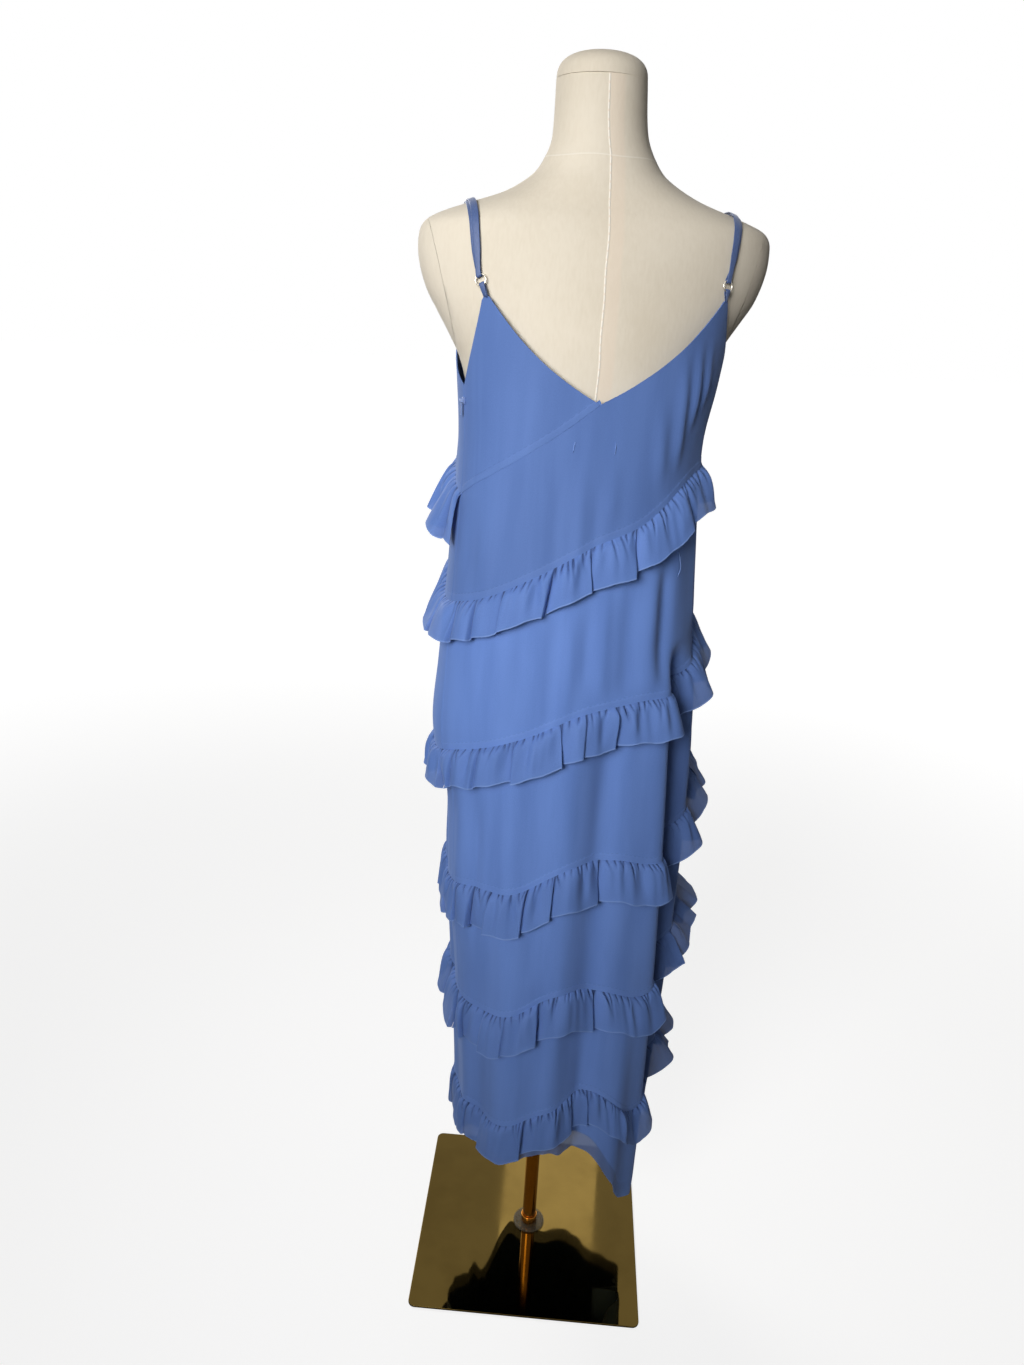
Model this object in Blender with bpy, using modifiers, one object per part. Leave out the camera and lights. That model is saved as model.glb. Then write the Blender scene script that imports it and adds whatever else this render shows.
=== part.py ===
"""Slip dress with tilted gathered frills, worn by a limbless dress form on a stand.

Metres, +Z up. The origin is the centre of the stand's underside. The dress's front faces -Y
and the wearer's left is +X. The cloth lies on one surface round the Z axis: a distance from
the axis for each angle and height. Angles are in degrees from centre back, and grow towards
the wearer's left, so the left side is at 90, centre front at 180 and the right side at 270.
"""
import math
from functools import partial
from typing import NamedTuple

import bmesh
import bpy
from mathutils import Matrix, Vector

# Cloth and its seams
CLOTH = 0.0010
SEAM_GAP = 0.0007
LAY_GAP = 0.0003
SIDE_LEFT = 76.0
SIDE_RIGHT = 268.0
FULL_TURN = 360.0

# Neckline, armholes and strap points
PEAK_HALF = 1.5
BACK_PEAK_LEFT = 61.0
BACK_PEAK_RIGHT = 294.0
FRONT_PEAK_LEFT = 117.0
FRONT_PEAK_RIGHT = 243.0
PEAK_HEIGHT_LEFT = 1.374
PEAK_HEIGHT_RIGHT = 1.381
BACK_POINT = 1.269
FRONT_POINT = 1.253
ARMHOLE_LOW = 1.279
YOKE_LOW_LEFT = 1.158
YOKE_TIP = 3.0
FOLD_ANGLE = 300.0

# Straps and their hardware
STRAP_WIDTH = 0.0080
STRAP_AT_RING = 0.0060
STRAP_THICK = 0.0010
STRAP_LIFT = 0.0011
STRAP_LAYER_GAP = 0.0005
STRAP_STATIONS = 16
STRAP_FAN = 0.0036
STRAP_FAN_SPREAD = 34.0
STRAP_DRIFT_POWER = 1.45
RING_RADIUS = 0.0060
RING_WIRE = 0.0008
RING_RISE = 0.0095
RING_DIP = 0.0012
RING_BLEND = 1.2
SHOULDER_CENTRE = 1.351
SLIDER_LENGTH = 0.0060
SLIDER_WALL = 0.0008
SLIDER_PLAY = 0.0004
SLIDER_TURN = -42.0
SLIDER_BUMP_SPREAD = 16.0
STRAP_FAN_TURN = 18.0
STRAP_START = 0.024

# Concealed zip in the left side seam
ZIP_TOP = 1.274
ZIP_BOTTOM = 1.037
ZIP_HALF = 2.4
ZIP_THICK = 0.0010
ZIP_BEHIND = 0.0006
SLIDER_HEIGHT = 1.263
SLIDER_BODY = (0.0050, 0.0070, 0.0022)
LUG_THICK = 0.0008
LUG_GAP = 0.0030
LUG_HEIGHT = 0.0034
LUG_ROOT = 0.0002
PIN_RADIUS = 0.0006
EYE_RADIUS = 0.0015
EYE_HOLE = 0.0009
EYE_WIDTH = 0.0024
PULL_WIDTH = 0.0040
PULL_LENGTH = 0.0160
PULL_BLADE = 0.0101
PULL_THICK = 0.0008
FLUSH_STEP = 0.00002

# Dress form and stand
HALVINGS = 40
FORM_STEPS = 36
ARM_PLANE_TOP = (0.186, 1.451)
ARM_PLANE_LOW = (0.152, 1.319)
ARM_BLOCK_HEIGHT = 0.150
CAP_RADIUS = 0.0486
CAP_SHIFT = 0.0037
CAP_TOP = 1.621
CAP_STEPS = 7
CAP_SQUARE = 0.75
SOCKET_DEPTH = 0.060
POLE_RADIUS = 0.0103
BASE_SIDE = 0.334
BASE_THICK = 0.003
BASE_CORNER = 0.010
BASE_TURN = -9.8
WASHER_RADIUS = 0.024
WASHER_THICK = 0.003
SLEEVE_RADIUS = 0.0122
SLEEVE_HEIGHT = 0.012
SLEEVE_EDGE = 0.001


class Section(NamedTuple):
    """Reach from the axis at one height; the squares are exponents of the rounded outline."""

    height: float
    left: float
    right: float
    back: float
    front: float
    back_square: float
    front_square: float


class Fold(NamedTuple):
    """Lengthwise fold: it starts at top and grows to its full depth (+ out) at the hem."""

    angle: float
    spread: float
    top: float
    depth: float


class Frill(NamedTuple):
    """Gathered strip: its drop, its stand-off at the hem (usual, left, right), its wave's share."""

    drop: float
    flare: float
    left: float
    right: float
    wave: float
    start: float


class Shoulder(NamedTuple):
    """A strap's line over one shoulder: its reach from the centre on top, and its drift inwards."""

    side: float
    reach: float
    drift: float


class Station(NamedTuple):
    """A place along a ribbon: its centre, its outward normal, its width's direction, its width."""

    centre: Vector
    normal: Vector
    across: Vector
    width: float


SHOULDER_LEFT = Shoulder(1.0, 0.140, 0.000027)
SHOULDER_RIGHT = Shoulder(-1.0, 0.150, 0.000041)
DRESS = (
    Section(0.091, 0.117, 0.151, 0.118, 0.125, 2.0, 2.5),
    Section(0.291, 0.118, 0.159, 0.118, 0.128, 2.0, 2.5),
    Section(0.491, 0.131, 0.166, 0.118, 0.130, 2.0, 2.5),
    Section(0.651, 0.144, 0.169, 0.118, 0.130, 2.0, 2.5),
    Section(0.771, 0.149, 0.169, 0.118, 0.130, 2.0, 2.5),
    Section(0.851, 0.168, 0.167, 0.119, 0.130, 2.0, 2.5),
    Section(0.941, 0.163, 0.160, 0.118, 0.128, 2.1, 2.4),
    Section(1.091, 0.152, 0.146, 0.112, 0.126, 2.3, 2.3),
    Section(1.211, 0.146, 0.141, 0.105, 0.134, 2.3, 2.3),
    Section(1.291, 0.150, 0.154, 0.103, 0.136, 2.3, 2.3),
    Section(1.381, 0.158, 0.165, 0.103, 0.110, 2.3, 2.3),
)
FORM = (
    Section(0.821, 0.120, 0.120, 0.084, 0.084, 2.2, 2.2),
    Section(0.841, 0.134, 0.134, 0.094, 0.092, 2.2, 2.2),
    Section(0.921, 0.145, 0.142, 0.100, 0.098, 2.0, 2.2),
    Section(1.011, 0.132, 0.130, 0.092, 0.098, 2.1, 2.2),
    Section(1.111, 0.116, 0.116, 0.082, 0.098, 2.2, 2.2),
    Section(1.191, 0.126, 0.124, 0.085, 0.112, 2.2, 2.2),
    Section(1.271, 0.138, 0.136, 0.090, 0.122, 2.1, 2.1),
    Section(1.307, 0.147, 0.145, 0.092, 0.114, 2.0, 2.0),
    Section(1.333, 0.160, 0.159, 0.092, 0.106, 1.9, 1.9),
    Section(1.359, 0.175, 0.176, 0.090, 0.098, 1.85, 1.85),
    Section(1.381, 0.187, 0.190, 0.088, 0.092, 1.8, 1.8),
    Section(1.411, 0.1955, 0.2000, 0.085, 0.086, 1.8, 1.8),
    Section(1.436, 0.1955, 0.2015, 0.080, 0.078, 1.85, 1.85),
    Section(1.449, 0.189, 0.198, 0.076, 0.072, 1.9, 1.9),
    Section(1.458, 0.174, 0.187, 0.073, 0.067, 1.9, 1.9),
    Section(1.469, 0.143, 0.156, 0.068, 0.062, 1.95, 1.95),
    Section(1.481, 0.107, 0.118, 0.064, 0.057, 2.0, 2.0),
    Section(1.494, 0.083, 0.090, 0.060, 0.052, 2.0, 2.0),
    Section(1.507, 0.068, 0.071, 0.056, 0.049, 2.0, 2.0),
    Section(1.531, 0.0555, 0.0550, 0.051, 0.047, 2.0, 2.0),
    Section(1.551, 0.0530, 0.0490, 0.049, 0.047, 2.0, 2.0),
    Section(1.594, 0.0525, 0.0450, 0.048, 0.0475, 2.0, 2.0),
)
FOLDS = (
    Fold(300.0, 5.0, 0.991, -0.016),
    Fold(287.0, 5.0, 0.971, 0.005),
    Fold(277.0, 5.0, 0.971, -0.010),
    Fold(259.0, 8.0, 0.991, 0.016),
    Fold(238.0, 8.0, 0.891, -0.008),
    Fold(315.0, 8.0, 0.611, 0.009),
    Fold(336.0, 8.0, 0.591, -0.007),
    Fold(28.0, 10.0, 0.941, 0.010),
    Fold(56.0, 8.0, 0.691, -0.005),
    Fold(104.0, 9.0, 0.891, 0.008),
    Fold(133.0, 9.0, 0.971, -0.011),
    Fold(160.0, 9.0, 0.791, 0.010),
    Fold(190.0, 9.0, 0.911, -0.008),
    Fold(214.0, 9.0, 0.961, 0.009),
)
FOLD_END = 0.241

# Heights of the frill seams and of the hem, every 30 degrees round from centre back
SEAM_STEP = 30.0
SEAMS = (
    # 0     30     60     90    120    150    180    210    240    270    300    330
    (1.113, 1.077, 1.041, 1.030, 1.075, 1.104, 1.138, 1.175, 1.205, 1.207, 1.188, 1.140),
    (0.913, 0.881, 0.852, 0.829, 0.846, 0.896, 0.956, 1.000, 1.030, 0.995, 0.939, 0.927),
    (0.707, 0.668, 0.655, 0.641, 0.663, 0.721, 0.776, 0.828, 0.852, 0.788, 0.703, 0.712),
    (0.520, 0.482, 0.465, 0.470, 0.501, 0.531, 0.563, 0.610, 0.636, 0.588, 0.496, 0.513),
    (0.329, 0.299, 0.288, 0.281, 0.291, 0.336, 0.376, 0.405, 0.420, 0.372, 0.289, 0.345),
    (0.251, 0.241, 0.251, 0.196, 0.192, 0.212, 0.158, 0.165, 0.162, 0.155, 0.127, 0.237),
)
TIERS = len(SEAMS) - 1
FRILLS = (
    Frill(0.047, 0.011, 0.015, 0.015, 0.45, 0.0),
    Frill(0.050, 0.013, 0.018, 0.022, 0.42, 0.9),
    Frill(0.055, 0.010, 0.008, 0.027, 0.45, 2.1),
    Frill(0.055, 0.012, 0.013, 0.034, 0.45, 3.4),
    Frill(0.053, 0.008, 0.003, 0.027, 0.45, 4.4),
)
YOKE_FRILL = Frill(0.060, 0.014, 0.023, 0.014, 0.35, 1.5)
FLARE_LEFT = 98.0
FLARE_RIGHT = 262.0
FLARE_SPREAD = 24.0
FLARE_POWER = 0.85
WAVES = 18
WAVE_DRIFT = 0.7
WAVE_DRIFTS = 5
CAUGHT = 0.25
CAUGHT_SPREAD = 14.0
FRILL_STEP = 5.0
FRILL_ROWS = 2

COLOURS = {
    "cloth": ((0.115, 0.200, 0.475), 0.85, 0.0),
    "frill": ((0.125, 0.215, 0.500), 0.85, 0.0),
    "strap": ((0.110, 0.190, 0.460), 0.75, 0.0),
    "metal": ((0.720, 0.660, 0.520), 0.30, 1.0),
    "jersey": ((0.800, 0.740, 0.640), 0.90, 0.0),
    "gold": ((0.560, 0.330, 0.090), 0.22, 1.0),
    "mirror": ((0.300, 0.210, 0.070), 0.08, 1.0),
    "washer": ((0.450, 0.440, 0.400), 0.30, 0.0),
}


def clear_scene():
    """Remove every object, and give the part's own two collections."""
    for item in list(bpy.data.objects):
        bpy.data.objects.remove(item, do_unlink=True)
    made = []
    for name in ("slip_dress_on_form", "cutters"):
        group = bpy.data.collections.new(name)
        bpy.context.scene.collection.children.link(group)
        made.append(group)
    return made


PARTS, CUTTERS = clear_scene()


def material(name):
    """Principled material of one of the named finishes."""
    found = bpy.data.materials.get(name)
    if found:
        return found
    colour, roughness, metallic = COLOURS[name]
    made = bpy.data.materials.new(name)
    made.use_nodes = True
    shader = made.node_tree.nodes["Principled BSDF"]
    shader.inputs["Base Color"].default_value = (*colour, 1.0)
    shader.inputs["Roughness"].default_value = roughness
    shader.inputs["Metallic"].default_value = metallic
    return made


# ---------------------------------------------------------------- curves and surfaces


def through(low, high, before, after, place):
    """Cubic through two (place, value) knots, with slopes from the knots on either side."""
    span = high[0] - low[0]
    share = (place - low[0]) / span
    slope_low = (high[1] - before[1]) / max(high[0] - before[0], 1e-9) * span
    slope_high = (after[1] - low[1]) / max(after[0] - low[0], 1e-9) * span
    cube = 2.0 * low[1] - 2.0 * high[1] + slope_low + slope_high
    square = 3.0 * high[1] - 3.0 * low[1] - 2.0 * slope_low - slope_high
    return ((cube * share + square) * share + slope_low) * share + low[1]


def section_at(sections, height):
    """Section at a height, on smooth curves through the rows."""
    height = min(max(height, sections[0].height), sections[-1].height)
    row = 0
    while row < len(sections) - 2 and sections[row + 1].height < height:
        row += 1
    around = (row, row + 1, max(row - 1, 0), min(row + 2, len(sections) - 1))
    values = []
    for column in range(1, len(Section._fields)):
        knots = [(sections[i].height, sections[i][column]) for i in around]
        values.append(through(*knots, height))
    return Section(height, *values)


def bell(away, spread_by):
    """Smooth bump of height 1 about 0 that fades over a spread."""
    return math.exp(-((away / spread_by) ** 2))


def fold_offset(angle, height):
    """How far the lengthwise folds move the cloth out at an angle and height."""
    offset = 0.0
    for fold in FOLDS:
        away = (angle - fold.angle + 180.0) % FULL_TURN - 180.0
        grown = min(max((fold.top - height) / (fold.top - FOLD_END), 0.0), 1.0)
        grown = grown * grown * (3.0 - 2.0 * grown)
        offset += fold.depth * grown * bell(away, fold.spread)
    return offset


def reach(sections, angle, height):
    """Distance of a sectioned surface from the axis at an angle and height."""
    here = section_at(sections, height)
    turn = math.radians(angle)
    side = here.left if math.sin(turn) >= 0.0 else here.right
    to_back = math.cos(turn) >= 0.0
    depth = here.back if to_back else here.front
    square = here.back_square if to_back else here.front_square
    total = abs(math.sin(turn) / side) ** square + abs(math.cos(turn) / depth) ** square
    return total ** (-1.0 / square)


def outward(angle):
    """Level unit vector that points out from the axis at an angle."""
    turn = math.radians(angle)
    return Vector((math.sin(turn), math.cos(turn), 0.0))


def on_dress(angle, height, lift=0.0):
    """Point on the outside of the cloth, moved out level by lift."""
    distance = reach(DRESS, angle, height) + fold_offset(angle, height) + lift
    return outward(angle) * distance + Vector((0.0, 0.0, height))


def seam_height(number, angle):
    """Height of a seam (0 is the highest, the last is the hem) at an angle."""
    heights = SEAMS[number]
    place = (angle % FULL_TURN) / SEAM_STEP
    low = int(place)
    knots = [(low + i, heights[(low + i) % len(heights)]) for i in (0, 1, -1, 2)]
    return through(*knots, place)


def spread(stops):
    """Angles through stops of (angle, steps to the next stop); the last has no steps."""
    angles = [stops[0][0]]
    for (start, steps), (end, _) in zip(stops, stops[1:]):
        angles += [start + (end - start) * i / steps for i in range(1, steps + 1)]
    return angles


SEAM_TURN = math.degrees(SEAM_GAP / 2.0 / 0.15)
BACK_ANGLES = spread((
    (SIDE_RIGHT - FULL_TURN + SEAM_TURN, 4),
    (BACK_PEAK_RIGHT - FULL_TURN - PEAK_HALF, 1),
    (BACK_PEAK_RIGHT - FULL_TURN + PEAK_HALF, 1),
    (FOLD_ANGLE - FULL_TURN, 1),
    (FOLD_ANGLE - FULL_TURN + 7.0, 5),
    (0.0, 6),
    (BACK_PEAK_LEFT - PEAK_HALF, 1),
    (BACK_PEAK_LEFT + PEAK_HALF, 3),
    (SIDE_LEFT - SEAM_TURN, 0),
))
FRONT_ANGLES = spread((
    (SIDE_LEFT + SEAM_TURN, 5),
    (FRONT_PEAK_LEFT - PEAK_HALF, 1),
    (FRONT_PEAK_LEFT + PEAK_HALF, 6),
    (180.0, 6),
    (FRONT_PEAK_RIGHT - PEAK_HALF, 1),
    (FRONT_PEAK_RIGHT + PEAK_HALF, 3),
    (SIDE_RIGHT - SEAM_TURN, 0),
))


def peak_height(angle):
    """Height of the strap points on an angle's side of the body."""
    return PEAK_HEIGHT_LEFT if math.sin(math.radians(angle)) > 0.0 else PEAK_HEIGHT_RIGHT


def neckline(angle, centre, peak_left, peak_right, point):
    """Height of a V neckline, whose edges bow down between its point and the strap points."""
    peak = peak_left if (angle - centre) * (peak_left - centre) > 0.0 else peak_right
    share = min(abs(angle - centre) / (abs(peak - centre) - PEAK_HALF), 1.0)
    return point + (peak_height(peak) - point) * (0.55 * share + 0.45 * share ** 3)


def armhole(angle, peak, side, power):
    """Height of an armhole's edge between a strap point and the side seam."""
    share = (abs(angle - peak) - PEAK_HALF) / (abs(side - peak) - PEAK_HALF)
    share = min(max(share, 0.0), 1.0)
    return peak_height(peak) + (ARMHOLE_LOW - peak_height(peak)) * share ** power


def back_top(angle):
    """Height of the back's upper edge: armhole, strap point, neckline, strap point, armhole."""
    right = BACK_PEAK_RIGHT - FULL_TURN
    if angle > BACK_PEAK_LEFT:
        return armhole(angle, BACK_PEAK_LEFT, SIDE_LEFT, 0.8)
    if angle < right:
        return armhole(angle, right, SIDE_RIGHT - FULL_TURN, 0.65)
    return neckline(angle, 0.0, BACK_PEAK_LEFT, right, BACK_POINT)


def front_top(angle):
    """Height of the front's upper edge."""
    if angle < FRONT_PEAK_LEFT:
        return armhole(angle, FRONT_PEAK_LEFT, SIDE_LEFT, 0.55)
    if angle > FRONT_PEAK_RIGHT:
        return armhole(angle, FRONT_PEAK_RIGHT, SIDE_RIGHT, 0.55)
    return neckline(angle, 180.0, FRONT_PEAK_LEFT, FRONT_PEAK_RIGHT, FRONT_POINT)


def back_diagonal(angle):
    """Height of the plain seam from the back's V point down to the left side seam."""
    share = min(max(angle / SIDE_LEFT, 0.0), 1.0)
    return BACK_POINT + (YOKE_LOW_LEFT - BACK_POINT) * share


def front_diagonal(angle):
    """Height of the frilled seam from the left side seam up to the front's V point."""
    share = min(max((180.0 - angle) / (180.0 - SIDE_LEFT), 0.0), 1.0)
    return FRONT_POINT + (YOKE_LOW_LEFT - FRONT_POINT) * share


# ---------------------------------------------------------------- cloth


def first_seam(angle):
    """Height of the highest frill seam that runs all round."""
    return seam_height(0, angle)


def back_bodice_top(angle):
    """Height of the back bodice's upper edge: the diagonal seam, then neckline and armhole."""
    return back_diagonal(angle) if angle > 0.0 else back_top(angle)


def front_bodice_top(angle):
    """Height of the front bodice's upper edge: the diagonal seam, then neckline and armhole."""
    return front_diagonal(angle) if angle < 180.0 else front_top(angle)


def grid_between(angles, upper, lower, rows):
    """Rows of points from an upper edge to a lower one, with a seam gap left at each."""
    grid = []
    for row in range(rows + 1):
        line = []
        for angle in angles:
            top = upper(angle) - SEAM_GAP / 2.0
            bottom = lower(angle) + SEAM_GAP / 2.0
            line.append(on_dress(angle, top + (bottom - top) * row / rows))
        grid.append(line)
    return grid


def on_grid(angles, grid, angle, share):
    """Point on a panel's facets, at an angle and a share of the way down the panel."""
    column = 0
    while column < len(angles) - 2 and angles[column + 1] < angle:
        column += 1
    along = (angle - angles[column]) / (angles[column + 1] - angles[column])
    place = min(max(share, 0.0), 1.0) * (len(grid) - 1)
    row = min(int(place), len(grid) - 2)
    upper = grid[row][column].lerp(grid[row][column + 1], along)
    lower = grid[row + 1][column].lerp(grid[row + 1][column + 1], along)
    return upper.lerp(lower, place - row)


def sheet(name, grid, finish, thickness, offset):
    """Cloth wall on a grid of points: Solidify goes in (-1) or out (+1) from them."""
    mesh = bpy.data.meshes.new(name)
    columns = len(grid[0])
    points = [point for line in grid for point in line]
    faces = []
    for row in range(len(grid) - 1):
        for column in range(columns - 1):
            corner = row * columns + column
            faces.append((corner, corner + 1, corner + columns + 1, corner + columns))
    mesh.from_pydata(points, [], faces)
    mesh.validate()
    made = bpy.data.objects.new(name, mesh)
    PARTS.objects.link(made)
    mesh.materials.append(material(finish))
    mesh.shade_smooth()
    wall = made.modifiers.new("wall", "SOLIDIFY")
    wall.thickness = thickness
    wall.offset = offset
    return made


def panel(name, angles, upper, lower, rows):
    """One cut panel of the body; gives its grid for what is sewn onto it."""
    grid = grid_between(angles, upper, lower, rows)
    sheet(name, grid, "cloth", CLOTH, -1.0)
    return grid


def stand_off(strip, angle):
    """How far a frill's hem stands off the cloth behind it, at an angle."""
    flare = strip.flare
    for side, centre in ((strip.left, FLARE_LEFT), (strip.right, FLARE_RIGHT)):
        away = (angle - centre + 180.0) % FULL_TURN - 180.0
        flare += (side - strip.flare) * bell(away, FLARE_SPREAD)
    return flare


def frill(name, angles, grid, upper, lower, strip, ends):
    """Gathered strip on a panel's points, moved out; ends are the angles where it is caught."""
    steps = [max(round((end - start) / FRILL_STEP), 1) for start, end in zip(angles, angles[1:])]
    columns = spread(tuple(zip(angles, steps + [0])))
    rows = []
    for row in range(FRILL_ROWS + 1):
        down = row / FRILL_ROWS
        line = []
        for angle in columns:
            height = upper(angle) - lower(angle)
            turn = math.radians(angle)
            drift = WAVE_DRIFT * math.sin(turn * WAVE_DRIFTS + strip.start)
            wave = 1.0 + strip.wave * math.sin(turn * WAVES + drift + strip.start)
            caught = min([1.0] + [CAUGHT + abs(angle - end) / CAUGHT_SPREAD for end in ends])
            lift = stand_off(strip, angle) * wave * down ** FLARE_POWER * caught
            base = on_grid(angles, grid, angle, strip.drop * down / height)
            line.append(base + outward(angle) * (LAY_GAP + lift))
        rows.append(line)
    sheet(name, rows, "frill", CLOTH, 1.0)


def build_bodice():
    """Yokes above the diagonal seams and the bodice panels below them."""
    panel("back_bodice", BACK_ANGLES, back_bodice_top, first_seam, 5)
    yoke = [YOKE_TIP] + [angle for angle in BACK_ANGLES if angle > YOKE_TIP]
    panel("back_yoke", yoke, back_top, back_diagonal, 4)
    grid = panel("front_bodice", FRONT_ANGLES, front_bodice_top, first_seam, 5)
    yoke = [angle for angle in FRONT_ANGLES if angle < 180.0 - YOKE_TIP] + [180.0 - YOKE_TIP]
    panel("front_yoke", yoke, front_top, front_diagonal, 4)
    left = [angle for angle in FRONT_ANGLES if angle <= 180.0]
    grid = [line[:len(left)] for line in grid]
    frill("frill_yoke", left, grid, front_diagonal, first_seam, YOKE_FRILL, (SIDE_LEFT, 180.0))


def build_skirt():
    """Skirt tiers between the tilted seams, each with the frill of the seam above it."""
    for number in range(TIERS):
        upper = partial(seam_height, number)
        lower = partial(seam_height, number + 1)
        for side, angles in (("back", BACK_ANGLES), ("front", FRONT_ANGLES)):
            grid = panel(f"{side}_tier_{number + 1}", angles, upper, lower, 3)
            frill(f"frill_{side}_{number + 1}", angles, grid, upper, lower, FRILLS[number], ())


# ---------------------------------------------------------------- solids


def link_mesh(name, mesh, finish, group=None):
    """Object of a mesh, with a finish, in the part's collection or another."""
    made = bpy.data.objects.new(name, mesh)
    (group or PARTS).objects.link(made)
    mesh.materials.append(material(finish))
    return made


def loft(name, rings, finish, group=None):
    """Closed solid through rings of equally many points, with flat ends."""
    mesh = bpy.data.meshes.new(name)
    count = len(rings[0])
    points = [point for ring in rings for point in ring]
    faces = []
    for ring in range(len(rings) - 1):
        for step in range(count):
            here = ring * count + step
            beside = ring * count + (step + 1) % count
            faces.append((here, beside, beside + count, here + count))
    faces.append(tuple(reversed(range(count))))
    faces.append(tuple(range(len(points) - count, len(points))))
    mesh.from_pydata(points, [], faces)
    shape = bmesh.new()
    shape.from_mesh(mesh)
    if shape.calc_volume(signed=True) < 0.0:
        bmesh.ops.reverse_faces(shape, faces=shape.faces)
    shape.to_mesh(mesh)
    shape.free()
    return link_mesh(name, mesh, finish, group)


def axes_matrix(origin, across, up, out):
    """Matrix that takes local X, Y and Z to three world directions at an origin."""
    turn = Matrix((across, up, out)).transposed()
    return Matrix.Translation(origin) @ turn.to_4x4()


def box(name, matrix, size, centre, finish, group=None):
    """Box of a size about a local centre, placed by a matrix."""
    mesh = bpy.data.meshes.new(name)
    shape = bmesh.new()
    bmesh.ops.create_cube(shape, size=1.0)
    bmesh.ops.scale(shape, vec=size, verts=shape.verts)
    bmesh.ops.translate(shape, vec=centre, verts=shape.verts)
    shape.to_mesh(mesh)
    shape.free()
    made = link_mesh(name, mesh, finish, group)
    made.matrix_world = matrix
    return made


def cylinder(name, matrix, radius, length, steps, finish, group=None):
    """Cylinder about local Z, centred on the matrix's origin."""
    mesh = bpy.data.meshes.new(name)
    shape = bmesh.new()
    bmesh.ops.create_cone(
        shape, cap_ends=True, segments=steps, radius1=radius, radius2=radius, depth=length)
    shape.to_mesh(mesh)
    shape.free()
    made = link_mesh(name, mesh, finish, group)
    made.matrix_world = matrix
    return made


def as_cutter(item):
    """Hide an object that only cuts or joins others."""
    item.hide_render = True
    item.display_type = "WIRE"
    return item


def combine(item, other, operation):
    """Boolean of an object with a cutter."""
    step = item.modifiers.new(operation.lower(), "BOOLEAN")
    step.operation = operation
    step.solver = "EXACT"
    step.object = other


def ribbon(name, stations, thickness, finish):
    """Flat band through stations."""
    rings = []
    for stop in stations:
        half = stop.across * (stop.width / 2.0)
        rise = stop.normal * (thickness / 2.0)
        rings.append([
            stop.centre - half - rise,
            stop.centre + half - rise,
            stop.centre + half + rise,
            stop.centre - half + rise,
        ])
    return loft(name, rings, finish)


# ---------------------------------------------------------------- straps


def form_gap(point):
    """How far a point lies outside the dress form, measured level from the axis."""
    angle = math.degrees(math.atan2(point.x, point.y))
    return math.hypot(point.x, point.y) - reach(FORM, angle, point.z)


def shoulder_point(shoulder, turn):
    """Point on the form over one shoulder: turn is 0 on top, + to the back, in degrees."""
    wide = shoulder.side * (shoulder.reach - shoulder.drift * abs(turn) ** STRAP_DRIFT_POWER)
    lean = math.radians(turn)
    near = 0.0
    far = 0.25
    for _ in range(HALVINGS):
        middle = (near + far) / 2.0
        probe = Vector((wide, middle * math.sin(lean), SHOULDER_CENTRE + middle * math.cos(lean)))
        if form_gap(probe) > 0.0:
            far = middle
        else:
            near = middle
    return Vector((wide, far * math.sin(lean), SHOULDER_CENTRE + far * math.cos(lean)))


def form_normal(point):
    """Outward unit normal of the dress form near a point."""
    step = 0.002
    slopes = []
    for axis in range(3):
        nudge = Vector((0.0, 0.0, 0.0))
        nudge[axis] = step
        slopes.append(form_gap(point + nudge) - form_gap(point - nudge))
    return Vector(slopes).normalized()


def shoulder_turn(shoulder, height, start, stop):
    """Turn at which the strap's line passes a height, between two turns."""
    for _ in range(HALVINGS):
        middle = (start + stop) / 2.0
        if shoulder_point(shoulder, middle).z > height:
            start = middle
        else:
            stop = middle
    return stop


def hairpin(end, along, normal, across, width, layer):
    """Stations of a band that turns round a ring's wire and comes back over itself."""
    stations = []
    for step in range(7):
        bend = math.pi * step / 6.0
        out = -normal * math.cos(bend) + along * math.sin(bend)
        stations.append(Station(end + out * layer, out, across, width))
    return stations


def seam_station(angle, across, width, lift, facing):
    """Where a band is sewn to a strap point: its end lies level, just above the panel's edge."""
    out = outward(angle)
    level = Vector((out.y, -out.x, 0.0))
    if level.dot(across) < 0.0:
        level = -level
    top = on_dress(angle, peak_height(angle) + SEAM_GAP / 2.0, lift - CLOTH / 2.0)
    return Station(top, out * facing, level, width)


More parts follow.
